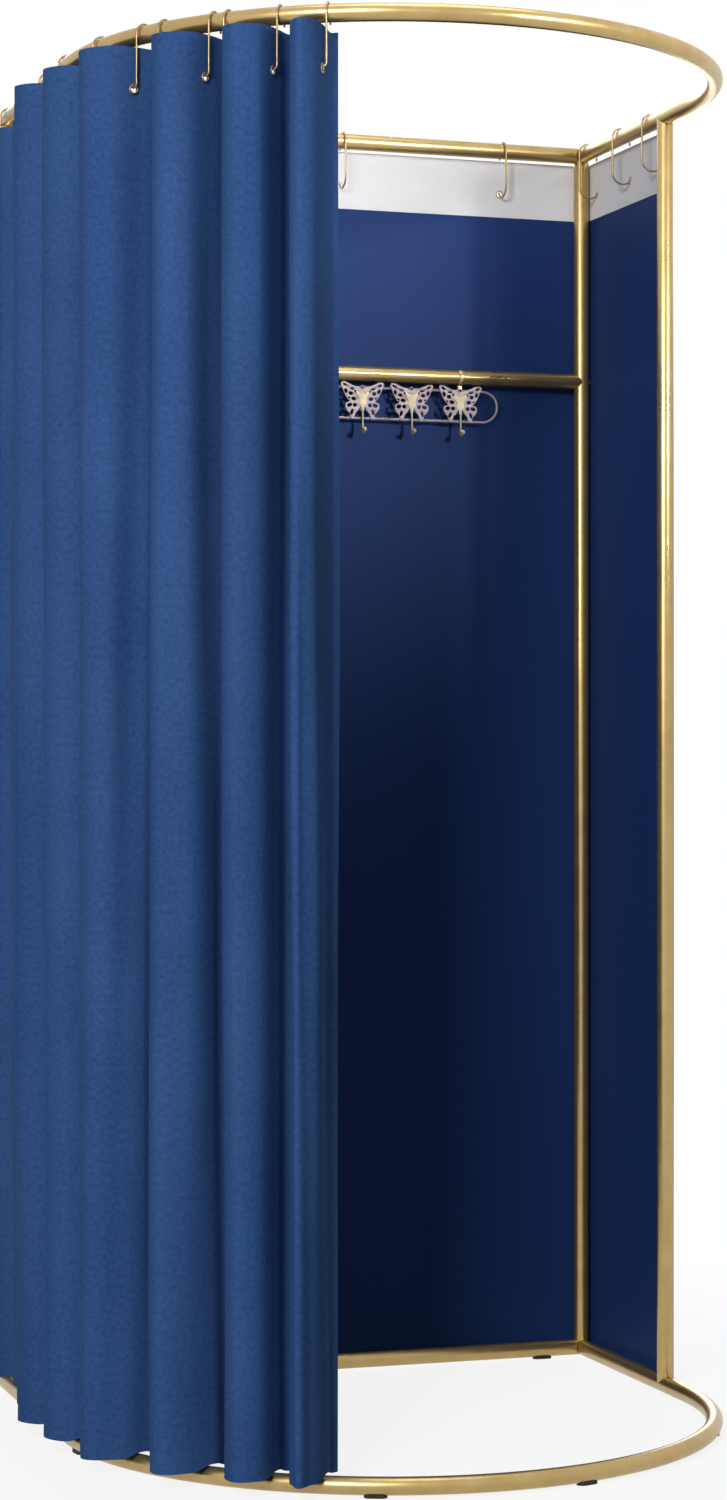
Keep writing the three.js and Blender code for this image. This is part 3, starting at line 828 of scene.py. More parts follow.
@dataclass
class HookWire(Assembly):
    """The shape that every wire hook shares, as lengths out of its rail's middle and up."""

    radius: float = 1.5 * MM
    loop_clearance: float = 1.2 * MM
    tail_drop: float = 12 * MM
    drop: float = 74.5 * MM
    loop_steps: int = 24
    curl_steps: int = 16

    @property
    def shank_reach(self) -> float:
        """How far the shank stands from the rail's middle."""
        return self.plan.tube_radius + self.loop_clearance + self.radius

    def loop(self) -> list[tuple[float, float]]:
        """The hook's way over the rail.

        Returns:
            Its points, as lengths out on the shank's side and up.
        """
        reach = self.shank_reach
        centre = self.plan.tube_radius + self.plan.seat_gap + self.radius - reach
        arc = [(reach * math.cos(a), centre + reach * math.sin(a)) for a in turns(self.loop_steps)]
        return [(reach, -self.tail_drop), (reach, -self.tail_drop / 2), *arc]

    def curl(self, kind: Curl) -> list[tuple[float, float]]:
        """The end of a hook below its shank: back under the rail for a liner, along it for a curtain.

        Args:
            kind: The kind of curl.

        Returns:
            Its points, as lengths from the rail's middle and up.
        """
        radius, turn = kind.value
        reach = -self.shank_reach if kind is Curl.LINER else 0.0
        low = radius - self.drop
        angles = turns(self.curl_steps, math.radians(turn), math.pi)
        return [(reach + radius * (1 + math.cos(a)), low + radius * math.sin(a)) for a in angles]

    def wire_top(self, kind: Curl, reach: float, depth: float) -> float:
        """The height over the rail of a curl's upper side where it goes through cloth.

        Args:
            kind: The kind of curl.
            reach: Where the cloth hangs.
            depth: How thick the cloth is along the wire.

        Returns:
            The height, which is negative.
        """
        curl = self.curl(kind)
        following = next(i for i, (u, _) in enumerate(curl) if u > reach)
        (u0, w0), (u1, w1) = curl[following - 1], curl[following]
        slope = (w1 - w0) / (u1 - u0)
        return w0 + slope * (reach - u0) + self.radius * math.hypot(1, slope) + abs(slope) * depth / 2

    def hang(self, name: str, place: Vector, out: Vector, line: Sequence[Triple]) -> Piece:
        """Bends a hook of wire.

        Args:
            name: The name of the piece.
            place: The rail's middle at the hook.
            out: The direction out of the rail.
            line: The hook's line, as lengths out, along and up.

        Returns:
            The hook.
        """
        along = Vector((-out.y, out.x, 0))
        points = [place + out * reach + along * side + Vector((0, 0, up)) for reach, side, up in line]
        return dress(wire(name, points, self.radius), self.finishes.wire)

    def over_back(self, name: str, place: Vector, out: Vector) -> Piece:
        """A hook for the liner: its curl goes to the rail's far side."""
        return self.hang(name, place, out, [(u, 0, w) for u, w in (*self.loop(), *self.curl(Curl.LINER))])

    def beside(self, name: str, station: float, toward: int) -> Piece:
        """A hook for the curtain: its shank hangs outside the rail and its curl turns along it.

        Args:
            name: The name of the piece.
            station: Where it hangs on the rail.
            toward: One if its curl turns onwards along the rail, minus one if back.

        Returns:
            The hook.
        """
        line = [(-u, 0, w) for u, w in self.loop()]
        line += [(self.shank_reach, toward * u, w) for u, w in self.curl(Curl.CURTAIN)]
        place = self.plan.place(station, 0, self.plan.top_ring)
        return self.hang(name, place, self.plan.directions(station)[1], line)


@dataclass
class Eyelet(Assembly):
    """A metal ring in cloth, round the hole that a hook goes through."""

    bore: float = 9 * MM
    bore_clearance: float = 0.4 * MM
    ring_radius: float = 5.9 * MM
    lip_radius: float = 1.5 * MM
    flatness: float = 0.85
    hole_sides: int = 20

    def centre(self, pierced: Vector, top: float) -> Vector:
        """The middle of the hole: its upper edge rests on the hook's wire."""
        rise = top + self.plan.seat_gap - self.bore / 2
        return Vector((pierced.x, pierced.y, self.plan.top_ring + rise))

    def turn(self, axis: Vector) -> Euler:
        """The turn that sets the hole's axis."""
        return axis.to_track_quat("Z", "Y").to_euler()

    def pierce(self, cloth: Piece, centre: Vector, axis: Vector) -> None:
        """Cuts the hole out of a cloth.

        Args:
            cloth: The cloth.
            centre: The middle of the hole.
            axis: The direction through the hole.
        """
        cutter = new(
            bpy.ops.mesh.primitive_cylinder_add, "hole_cutter", vertices=self.hole_sides, location=centre,
            radius=self.bore / 2 + self.bore_clearance, depth=2 * self.bore, rotation=self.turn(axis),
        )
        apply_modifier(cloth, "BOOLEAN", operation="DIFFERENCE", object=cutter, solver="EXACT")
        bpy.data.objects.remove(cutter)

    def ring(self, name: str, centre: Vector, axis: Vector) -> Piece:
        """The ring itself, with a rolled lip on both sides of the cloth.

        Args:
            name: The name of the piece.
            centre: The middle of the hole.
            axis: The direction through the hole.

        Returns:
            The ring.
        """
        ring = new(
            bpy.ops.mesh.primitive_torus_add, name, (1, 1, self.flatness), major_radius=self.ring_radius,
            minor_radius=self.lip_radius, major_segments=32, minor_segments=12, location=centre,
            rotation=self.turn(axis),
        )
        return smooth(dress(ring, self.finishes.wire), angle=60)


class Wall(Enum):
    """The two cloth walls."""

    BACK = "back"
    SIDE = "side"


@dataclass
class Liner(Assembly):
    """The cloth walls at the back and on the right: navy cloth under a pale header, hung on wire hooks."""

    stand_off: float = 17 * MM
    thickness: float = 1.1 * MM
    pierced_depth: float = 1.6 * MM
    lap: float = 8 * MM
    lap_step: float = 0.62 * MM
    header_drop: float = 14 * MM
    header_height: float = 92 * MM
    front_inset: float = 12 * MM
    cell: float = 12 * MM
    least_rows: int = 10
    ripple: float = 1.6 * MM
    still_drop: float = 0.5
    back_hook_shares: tuple[float, ...] = (0.1435, 0.4295, 0.7155, 0.95)
    side_hook_shares: tuple[float, ...] = (0.087, 0.4928, 0.8406)

    def build(self) -> None:
        """Hangs both walls and their hooks."""
        plan, half, run = self.plan, self.plan.half_width, self.plan.front_post_run
        back_rails = [plan.at(half - share * 2 * half, 0) for share in self.back_hook_shares]
        side_rails = [plan.at(half, -share * run) for share in self.side_hook_shares]
        walls = (
            (Wall.BACK, 2 * half + self.stand_off, Vector((0, 1, 0)), back_rails),
            (Wall.SIDE, run - self.front_inset + self.stand_off, Vector((1, 0, 0)), side_rails),
        )
        heights = (
            ("liner", self.finishes.liner, plan.floor_ring, self.seam + self.lap, self.lap_step),
            ("header", self.finishes.header, self.seam, self.top, -self.lap_step),
        )
        cloths = [[self.cloth(wall, width, *height) for height in heights] for wall, width, _, _ in walls]
        for wall, pair in zip(walls, cloths):
            self.hang(*wall, *pair)

    @property
    def top(self) -> float:
        """The height of the header's top edge."""
        return self.plan.top_ring - self.header_drop

    @property
    def seam(self) -> float:
        """The height of the seam between liner and header."""
        return self.top - self.header_height

    def hang(
        self, wall: Wall, width: float, out: Vector, rails: list[Vector], liner: Piece, header: Piece
    ) -> None:
        """Hangs one wall's liner and header on their hooks.

        Args:
            wall: The wall.
            width: How wide the cloths are. It is not used.
            out: The direction from the rail to the cloths.
            rails: The places of the hooks on the rail, in plan.
            liner: The liner.
            header: The header.
        """
        plan = self.plan
        hook, eyelet = HookWire(plan, self.finishes), Eyelet(plan, self.finishes)
        wire_top = hook.wire_top(Curl.LINER, self.stand_off, self.pierced_depth)
        nodes = [f"{wall.value}_liner_hook_{index}" for index in range(1, len(rails) + 1)]
        rings = []
        for index, (node, rail) in enumerate(zip(nodes, rails), 1):
            piece = hook.over_back(f"{node}_wire", rail + Vector((0, 0, plan.top_ring)), out)
            mount(piece, node)
            centre = eyelet.centre(rail + out * self.stand_off, wire_top)
            eyelet.pierce(header, centre, out)
            rings.append(eyelet.ring(f"{wall.value}_header_eyelet_{index}", centre, out))
            mount(rings[-1])
        smooth(header)
        mount(liner, f"{wall.value}_liner")
        mount(header, f"{wall.value}_header")

    def cloth(
        self, wall: Wall, width: float, kind: str, material: Material, low: float, high: float, step: float
    ) -> Piece:
        """One cloth of a wall.

        Args:
            wall: The wall.
            width: How wide the cloth is.
            kind: Its name, liner or header.
            material: What it is dressed in.
            low: The height of its lower edge.
            high: The height of its upper edge.
            step: How far out of the wall's plane it is set.

        Returns:
            The cloth.
        """
        plan = self.plan

        def shape(across: np.ndarray, up: np.ndarray) -> tuple[np.ndarray, np.ndarray]:
            """Shapes the cloth.

            Args:
                across: Each point's share of the width.
                up: Its share of the height.

            Returns:
                The place of each point, and its run along the cloth.
            """
            run, height = across * width, low + up * (high - low)
            out = self.stand_off + self.billow(run, height, wall) + step
            if wall is Wall.BACK:
                x, y = plan.origin_x - plan.half_width + run, plan.origin_y + out
            else:
                x = plan.origin_x + plan.half_width + out
                y = plan.origin_y - plan.front_post_run + self.front_inset + run
            return np.stack([x, y, height], axis=1), run

        cells = round(width / self.cell), max(self.least_rows, round((high - low) / self.cell))
        piece = sew(f"{wall.value}_{kind}_cloth", cells, shape, self.thickness, material)
        log.info("%s is %.3f by %.3f m", piece.name, width, high - low)
        return piece

    def billow(self, run: np.ndarray, height: np.ndarray, wall: Wall) -> np.ndarray:
        """How far the hanging cloth stands out of its plane.

        Args:
            run: How far along the cloth each point lies.
            height: The height of each point.
            wall: The wall.

        Returns:
            The distance at each point, which is none at the header's top.
        """
        loose = np.clip((self.top - height) / self.still_drop, 0, 1)
        phase = 0.7 if wall is Wall.BACK else 2.1
        slow_pace, slow_sway, slow_rise = 7.3, 0.35, 2.1
        quick_pace, quick_sway, quick_rise, quick_phase, quick_share = 19.0, 0.6, 3.4, 1.3, 0.4
        push = 0.6
        slow = np.sin(run * slow_pace + phase + slow_sway * np.sin(height * slow_rise))
        sway = quick_sway * np.sin(height * quick_rise + phase)
        quick = quick_share * np.sin(run * quick_pace - quick_phase * phase + sway)
        return self.ripple * loose * (push + slow + quick)


@dataclass(frozen=True)
class Fold:
    """One half wave of the curtain: where it starts, how far it swings, and whether a hook holds its start."""

    start: float
    depth: float
    hooked: bool = False


@dataclass
class CurtainLine:
    """The curtain's plan line, through the same key places as the CAD model's."""

    plan: RoomPlan
    fold_depth: float = 65 * MM
    valley_depth: float = 45 * MM
    edge_lap: float = 6 * MM
    flat_run: float = 28 * MM
    corner_hook_run: float = 21.5 * MM
    stand_off: float = 17 * MM
    keys_per_fold: int = 4
    end_share: float = 0.355
    side_hooks: int = 3
    samples: int = 4001
    tangent_share: float = 1e-4
    side_folds: tuple[Fold, ...] = (
        Fold(0.06, -0.4),
        Fold(0.14, 0.19),
        Fold(0.401, -0.8),
        Fold(0.481, 0.55, hooked=True),
        Fold(0.763, -1.0),
        Fold(0.85, 0.95, hooked=True),
        Fold(1.15, -1.0),
    )
    bend_folds: tuple[Fold, ...] = (
        Fold(0.0, 0.77, hooked=True),
        Fold(0.0611, -1.0),
        Fold(0.0889, 1.0, hooked=True),
        Fold(0.15, -1.0, hooked=True),
        Fold(0.1822, 1.0, hooked=True),
        Fold(0.2322, -0.9, hooked=True),
        Fold(0.2528, 1.0, hooked=True),
        Fold(0.2972, -0.85, hooked=True),
        Fold(0.3139, 1.0),
        Fold(0.3406, -0.87, hooked=True),
    )

    def __post_init__(self) -> None:
        """Works out the key places, and how long the line is up to each sample of it."""
        plan = self.plan
        run = plan.front_post_run - self.flat_run
        self.folds = [*self.side_folds, *self.bend_folds]
        self.hooked = [index for index, fold in enumerate(self.folds) if fold.hooked]
        self.starts = [
            *(self.flat_run + fold.start * run for fold in self.side_folds),
            *(plan.bend_station(fold.start) for fold in self.bend_folds),
            plan.bend_station(self.end_share),
        ]
        self.keys = [(-self.edge_lap, self.stand_off), (self.flat_run, self.stand_off)]
        self.start_keys = []
        for fold, start, end in zip(self.folds, self.starts, self.starts[1:]):
            swing = fold.depth * (self.fold_depth if fold.depth > 0 else self.valley_depth)
            count = self.keys_per_fold // 2 + 1 if end == self.starts[-1] else self.keys_per_fold
            self.start_keys.append(len(self.keys))
            for turn in turns(self.keys_per_fold)[:count]:
                self.keys.append((start + (end - start) / 2 * (1 - math.cos(turn)), swing * math.sin(turn)))
        self.spans = len(self.keys) - 1
        self.places = np.array([plan.place(station, offset)[:2] for station, offset in self.keys])
        self.shares = np.linspace(0, 1, self.samples)
        self.sampled = self.points(self.shares)
        steps = np.linalg.norm(np.diff(self.sampled, axis=0), axis=1)
        self.lengths = np.concatenate([[0], np.cumsum(steps)])

    def points(self, shares: np.ndarray) -> np.ndarray:
        """The plan places at shares of the line, on a centripetal spline through the keys.

        Args:
            shares: The shares.

        Returns:
            The places, one row each.
        """
        places = self.places
        padded = np.vstack([2 * places[0] - places[1], places, 2 * places[-1] - places[-2]])
        spot = np.clip(shares, 0, 1) * self.spans
        index = np.minimum(spot.astype(int), self.spans - 1)
        weight = (spot - index)[:, None]
        p0, p1, p2, p3 = (padded[index + i] for i in range(4))
        pairs = ((p0, p1), (p1, p2), (p2, p3))
        d0, d1, d2 = (np.sqrt(np.linalg.norm(b - a, axis=1))[:, None] for a, b in pairs)
        t1 = ((p1 - p0) / d0 - (p2 - p0) / (d0 + d1) + (p2 - p1) / d1) * d1
        t2 = ((p2 - p1) / d1 - (p3 - p1) / (d1 + d2) + (p3 - p2) / d2) * d1
        c2 = -3 * p1 + 3 * p2 - 2 * t1 - t2
        c3 = 2 * p1 - 2 * p2 + t1 + t2
        return p1 + t1 * weight + c2 * weight**2 + c3 * weight**3

    def normals(self, shares: np.ndarray) -> np.ndarray:
        """The unit normals of the line, towards its left.

        Args:
            shares: The shares of the line.

        Returns:
            The normals, one row each.
        """
        ahead = self.points(np.minimum(shares + self.tangent_share, 1))
        tangent = ahead - self.points(np.maximum(shares - self.tangent_share, 0))
        tangent /= np.linalg.norm(tangent, axis=1)[:, None]
        return np.stack([-tangent[:, 1], tangent[:, 0]], axis=1)

    def length(self, share: np.ndarray | float) -> np.ndarray | float:
        """How long the line is up to a share of it."""
        return np.interp(share, self.shares, self.lengths)

    def nearest(self, place: Vector) -> float:
        """The share of the line nearest to a place."""
        away = np.linalg.norm(self.sampled - np.array(place[:2]), axis=1)
        return float(self.shares[int(np.argmin(away))])

    def flank(self, index: int, offset: float) -> float:
        """The station at which the line first has an offset, near the start of a fold.

        Args:
            index: The number of the fold.
            offset: The offset.

        Returns:
            The station.
        """
        rising = self.folds[index].depth > 0
        outside = index if rising else index - 1
        half = (self.starts[outside + 1] - self.starts[outside]) / 2
        depth = self.keys[self.start_keys[outside] + self.keys_per_fold // 2][1]
        away = half * (1 - math.sqrt(1 - (offset / depth) ** 2))
        return self.starts[index] + (away if rising else -away)

    def cuts(self) -> list[float]:
        """Where one stretch of cloth ends and the next begins.

        Returns:
            The shares of the line, with its ends.
        """
        seams = self.hooked[self.side_hooks - 1:-1]
        rises = [0.5 if self.folds[index].depth > 0 else 0.0 for index in seams]
        return [0.0, *((self.start_keys[i] + rise) / self.spans for i, rise in zip(seams, rises)), 1.0]


@dataclass
class Hold:
    """Where a hook holds the curtain: the share of its line, the hole's middle and axis, the hook, its ring."""

    share: float
    centre: Vector
    axis: Vector
    node: str
    ring: Piece


@dataclass
class Curtain(Assembly):
    """The gathered curtain: stretches of cloth that share their seams, each pierced where a hook holds it."""

    thickness: float = 1.6 * MM
    pierced_layers: int = 5
    top_drop: float = 18 * MM
    hem_rise: float = 16 * MM
    columns_per_span: int = 9
    least_columns: int = 8
    rows: int = 110
    swell: float = 0.05
    waver: float = 2.0 * MM
    droop: float = 2.5 * MM
    hem_dip: float = 7 * MM
    hem_clearance: float = 4 * MM
    hem_slope: float = 30 * MM
    hem_share: float = 0.25
    grip: float = 8 * MM

    def build(self) -> None:
        """Hangs the curtain and its hooks."""
        self.line = CurtainLine(self.plan)
        self.eyelet = Eyelet(self.plan, self.finishes)
        self.top = self.plan.top_ring - self.top_drop
        self.hem = self.plan.floor_ring + self.hem_rise
        holds = self.hang_hooks()
        self.pins = np.array([0.0, *sorted(hold.share for hold in holds), 1.0])
        cuts = self.line.cuts()
        for index, (start, end) in enumerate(zip(cuts, cuts[1:])):
            node = f"curtain_fold_{index}" if index else "curtain_side_folds"
            cloth = self.stretch(f"{node}_cloth", start, end)
            width = float(self.line.length(end) - self.line.length(start))
            held = [hold for hold in holds if start <= hold.share < end]
            for hold in held:
                self.eyelet.pierce(cloth, hold.centre, hold.axis)
            smooth(cloth)
            self.attach(cloth, index, start, held[-1].centre)
            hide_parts(node)
            log.info("%s is %.3f m of cloth", cloth.name, width)

    def body(self, travelling: int) -> str:
        """The body of a hook that travels, or the frame."""
        return f"curtain_{travelling}" if travelling > 0 else ROOT

    def hang_hooks(self) -> list[Hold]:
        """Makes the hooks and their eyelets.

        Returns:
            Where each hook holds the cloth.
        """
        plan, line, hook = self.plan, self.line, HookWire(self.plan, self.finishes)
        corner = plan.place(line.corner_hook_run, 0, plan.top_ring)
        outward = plan.directions(line.corner_hook_run)[1]
        top = hook.wire_top(Curl.LINER, line.stand_off, self.thickness)
        piece = hook.over_back("corner_hook_wire", corner, outward)
        holds = [self.hold("corner_hook", piece, corner + outward * line.stand_off, top, 0)]
        radius = Curl.CURTAIN.value[0]
        top = hook.wire_top(Curl.CURTAIN, radius, self.pierced_layers * self.thickness)
        scale = plan.half_width / (plan.half_width + hook.shank_reach)
        for travelling, index in enumerate(line.hooked, 1 - line.side_hooks):
            toward = 1 if line.folds[index].depth > 0 else -1
            flank = line.flank(index, hook.shank_reach)
            node = f"side_hook_{travelling + line.side_hooks}"
            if travelling > 0:
                node = f"curtain_hook_{travelling}"
            piece = hook.beside(f"{node}_wire", flank - toward * radius * scale, toward)
            holds.append(self.hold(node, piece, plan.place(flank, hook.shank_reach), top, travelling))
        return holds

    def hold(self, node: str, piece: Piece, pierced: Vector, top: float, travelling: int) -> Hold:
        """Gives a hook its eyelet and its body.

        Args:
            node: The hook's node.
            piece: The hook.
            pierced: The place in plan at which it goes through the cloth.
            top: The height over the rail of its wire there.
            travelling: The hook's number on the bend, or zero or less where it stays.

        Returns:
            Where it holds the cloth.
        """
        share = self.line.nearest(pierced)
        centre = self.eyelet.centre(pierced, top)
        axis = Vector((*self.line.normals(np.array([share]))[0], 0))
        ring = self.eyelet.ring(f"{node}_eyelet", centre, axis)
        mount(piece, node, self.body(travelling))
        mount(ring, body=self.body(travelling))
        return Hold(share, centre, axis, node, ring)

    def attach(self, cloth: Piece, index: int, start: float, centre: Vector) -> None:
        """Puts the first stretch of cloth on the frame, and puts each other one's place into its own mesh.

        The first stretch stays on the frame. Each other one starts at the seam beside the hook before it, and
        ends round its own hook.

        Args:
            cloth: The stretch.
            index: Its place in the order, from the straight side on.
            start: The share of the line at which it starts.
            centre: The middle of the hole for the hook that holds it. It is not used.
        """
        if index == 0:
            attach(cloth, ROOT)
            return
        begin = self.line.points(np.array([start]))[0]
        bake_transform(cloth)

    def stretch(self, name: str, start: float, end: float) -> Piece:
        """One stretch of cloth between two seams.

        Args:
            name: Its name.
            start: The share of the curtain's line at which it starts.
            end: The share at which it ends.

        Returns:
            The cloth.
        """
        line, plan = self.line, self.plan
        columns = max(self.least_columns, round((end - start) * line.spans * self.columns_per_span))

        def shape(across: np.ndarray, up: np.ndarray) -> tuple[np.ndarray, np.ndarray]:
            """Shapes the cloth.

            Args:
                across: Each point's share of the width.
                up: Its share of the height.

            Returns:
                The place of each point, and its run along the cloth.
            """
            share = start + (end - start) * np.rint(across * columns) / columns
            place, normal = line.points(share), line.normals(share)
            arm = place - np.array(plan.bend_centre[:2])
            bent = arm[:, 1] < 0
            distance = np.linalg.norm(arm, axis=1)
            outward = np.where(bent[:, None], arm / distance[:, None], np.array([-1.0, 0.0]))
            offset = np.where(bent, distance, -arm[:, 0]) - plan.half_width
            swell, waver = self.sway(share, 1 - up)
            plane = place + outward * (offset * swell)[:, None] + normal * waver[:, None]
            clear = np.clip((np.abs(offset) - self.hem_clearance) / self.hem_slope, 0, 1)
            dip = self.hem_dip * clear**2 * (3 - 2 * clear) * np.clip(1 - up / self.hem_share, 0, 1)
            fall = self.edge_fall(share) * np.where(up > 0.5, up, 0)
            height = self.hem + up * (self.top - self.hem) - fall - dip
            return np.column_stack([plane, height]), line.length(share)

        return sew(name, (columns, self.rows), shape, self.thickness, self.finishes.curtain)

    def sway(self, share: np.ndarray, depth: np.ndarray) -> tuple[np.ndarray, np.ndarray]:
        """How unevenly the folds hang, so that no two are alike.

        Args:
            share: The share of the line at each point.
            depth: How far below the top it lies, as a share of the height.

        Returns:
            How much deeper the fold is there, as a share, and how far the cloth wavers.
        """
        slow_size, slow_pace, quick_size, quick_pace, quick_lag = 9, 11.0, 4, 29.0, 1.0
        phase = slow_size * np.sin(share * slow_pace) + quick_size * np.sin(share * quick_pace + quick_lag)
        swell_pace, swell_rise = 2.6, 1.6
        swell = self.swell * np.sin(swell_pace * depth + phase)
        swell *= np.sin(np.pi * np.minimum(depth * swell_rise, 0.5))
        long_pace, long_phase, short_pace, short_share, waver_rise = 5.1, 1.7, 11.3, 0.5, 2.5
        waver = np.sin(long_pace * depth + long_phase * phase)
        waver += short_share * np.sin(short_pace * depth - phase)
        return swell, waver * (self.waver * np.minimum(depth * waver_rise, 1))

    def edge_fall(self, share: np.ndarray) -> np.ndarray:
        """How far the top edge falls between two hooks.

        Args:
            share: The shares of the line.

        Returns:
            The fall at each of them.
        """
        following = np.clip(np.searchsorted(self.pins, share), 1, len(self.pins) - 1)
        low, high = self.pins[following - 1], self.pins[following]
        middle = np.clip((share - low) / (high - low), 0, 1)
        return self.droop * np.sin(np.pi * middle) ** 2


# Coat rack


@dataclass
class CoatRack(Assembly):
    """A stadium loop of wire under the middle rail, with a row of openwork butterflies.

    The outlines are shares of a butterfly's width and height, from head to tail along its right half. A
    window is given by its middle, its two half sizes as shares of the width, and its turn in degrees.
    """

    shift: float = 16 * MM
    end_run: float = 67 * MM
    wire_radius: float = 2 * MM
    spacing: float = 50 * MM
    bend_steps: int = 24
    drop: float = 22 * MM
    band_thickness: float = 0.8 * MM
    band_width: float = 8 * MM
    band_sides: int = 40
    band_edge: float = 0.4 * MM
    count: int = 7
    pitch: float = 84.5 * MM
    width: float = 73.5 * MM
    height: float = 60 * MM
    rise: float = 3.5 * MM
    plate: float = 1.6 * MM
    gap: float = 0.3 * MM
    wing_edge: float = 0.3 * MM
    body_edge: float = 0.6 * MM
    hook_wire: float = 3.2 * MM
    hook_radius: float = 5 * MM
    hook_drop: float = 22.5 * MM
    hook_start_share: float = 0.2
    hook_steps: int = 14
    ball_size: float = 8 * MM
    pupil_share: float = 0.3
    head_radius: float = 2.8 * MM
    head_wire: float = 0.9 * MM
    wing: Outline = (
        (0.04, 0.33), (0.12, 0.36), (0.27, 0.43), (0.44, 0.5), (0.5, 0.46), (0.47, 0.33), (0.42, 0.2),
        (0.37, 0.08), (0.297, -0.02), (0.38, -0.08), (0.396, -0.15), (0.36, -0.27), (0.29, -0.365),
        (0.26, -0.49), (0.2, -0.5), (0.17, -0.37), (0.1, -0.27), (0.04, -0.17),
    )
    middle: Outline = (
        (0.04, 0.19), (0.145, 0.25), (0.12, 0.12), (0.085, 0.03), (0.09, -0.1), (0.045, -0.16), (0.02, -0.3),
    )
    window_points: int = 8
    windows: tuple[tuple[float, float, float, float, float], ...] = (
        (0.395, 0.395, 0.068, 0.032, 35),
        (0.255, 0.325, 0.062, 0.033, 20),
        (0.385, 0.25, 0.056, 0.036, 70),
        (0.27, 0.185, 0.052, 0.042, 0),
        (0.165, 0.235, 0.03, 0.022, 60),
        (0.2, 0.04, 0.056, 0.04, 15),
        (0.315, 0.055, 0.03, 0.028, 60),
        (0.3, -0.13, 0.06, 0.044, -20),
        (0.175, -0.13, 0.045, 0.044, 0),
        (0.245, -0.315, 0.068, 0.034, -70),
    )

    def build(self) -> None:
        """Builds the loop with its bands, and the butterflies."""
        mount(self.loop(), "rack_frame")
        first = self.butterfly()
        face = -self.wire_radius - self.gap
        start = self.plan.at(self.shift - self.row / 2, face, self.high - self.spacing / 2 + self.rise)
        for i in range(self.count):
            pick(first)
            bpy.ops.object.duplicate()
            piece = bpy.context.object
            piece.location = start + Vector((i * self.pitch, 0, 0))
            mount(settle(piece, f"butterfly_{i + 1}_plate"), f"butterfly_hook_{i + 1}")
        bpy.data.objects.remove(first)

    @property
    def row(self) -> float:
        """The distance between the middles of the first and the last butterfly."""
        return (self.count - 1) * self.pitch

    @property
    def high(self) -> float:
        """The height of the loop's upper wire."""
        return self.plan.mid_rail - self.drop

    def loop(self) -> Piece:
        """The wire loop and the two bands that hold it to the rail.

        Returns:
            The loop with its bands.
        """
        bend = self.spacing / 2
        half = self.row / 2 + self.end_run - self.wire_radius - bend
        points = []
        for side in (1, -1):
            for turn in turns(self.bend_steps, -side * math.pi, side * math.pi / 2):
                x = self.shift + side * (half + bend * math.cos(turn))
                points.append(self.plan.at(x, 0, self.high - bend + bend * math.sin(turn)))
        parts = [dress(wire("rack_wire", points, self.wire_radius, closed=True), self.finishes.rose)]
        for side in (-1, 1):
            parts += self.band(self.plan.at(self.shift + side * self.row / 2, 0, self.plan.mid_rail))
        return join(parts, "rack_loop")

    def band(self, place: Vector) -> list[Piece]:
        """A band round the rail, and the neck that is welded to the wire below it.

        Args:
            place: The rail's middle at the band.

        Returns:
            The band and the neck.
        """
        inner = self.plan.tube_radius + self.plan.seat_gap
        ring = new(
            bpy.ops.mesh.primitive_cylinder_add, "rack_band", vertices=self.band_sides, location=place,
            radius=inner + self.band_thickness, depth=self.band_width, rotation=ALONG_X,
            end_fill_type="NOTHING",
        )
        apply_modifier(ring, "SOLIDIFY", thickness=self.band_thickness, offset=-1.0)
        low, top = self.high - self.wire_radius / 2, place.z - inner - self.band_thickness / 2
        scale, middle = (self.band_width, 2 * self.wire_radius, top - low), (place.x, place.y, (low + top) / 2)
        neck = new(bpy.ops.mesh.primitive_cube_add, "rack_neck", scale, size=1, location=middle)
        for part in (ring, neck):
            apply_modifier(part, "BEVEL", width=self.band_edge, segments=2, limit_method="ANGLE")
            smooth(dress(part, self.finishes.gold))
        return [ring, neck]

    def mirrored(self, shares: Outline) -> Outline:
        """A symmetric outline from the shares of its right half."""
        right = [(x * self.width, y * self.height) for x, y in shares]
        return (*((-x, y) for x, y in reversed(right)), *right)

    def window_outlines(self) -> list[Outline]:
        """The windows of a butterfly.

        Returns:
            Their outlines.
        """
        outlines = []
        angles = turns(self.window_points, 2 * math.pi)[:-1]
        for x, y, along, across, turn in self.windows:
            lean = complex(math.cos(math.radians(turn)), math.sin(math.radians(turn)))
            middle = complex(x * self.width, y * self.height)
            oval = [complex(along * math.cos(a), across * math.sin(a)) for a in angles]
            hole = [middle + self.width * lean * spot for spot in oval]
            outlines += [tuple((side * spot.real, spot.imag) for spot in hole) for side in (-1, 1)]
        return outlines

    def cut_plate(self, name: str, outlines: Sequence[Outline], back: float, edge: float) -> Piece:
        """An upright plate with smooth outlines and rounded edges.

        Args:
            name: The name of the piece.
            outlines: The plate's rim, then its windows.
            back: Where its back lies.
            edge: The radius of its edges.

        Returns:
            The plate.
        """
        clear_selection()
        bpy.ops.curve.primitive_bezier_circle_add()
        shape = bpy.context.object
        shape.data.splines.clear()
        for outline in outlines:
            spline = shape.data.splines.new("BEZIER")
            spline.bezier_points.add(len(outline) - 1)
            for point, place in zip(spline.bezier_points, outline):
                assign(point, co=(*place, 0), handle_left_type="AUTO", handle_right_type="AUTO")
            assign(spline, use_cyclic_u=True, resolution_u=5)
        assign(shape.data, dimensions="2D", fill_mode="BOTH", extrude=self.plate / 2 - edge, offset=-edge)
        assign(shape.data, bevel_depth=edge, bevel_resolution=1)
        bpy.ops.object.convert(target="MESH")
        assign(shape, rotation_euler=ALONG_Y, location=(0, back - self.plate / 2, 0))
        return smooth(clean(settle(shape, name)))

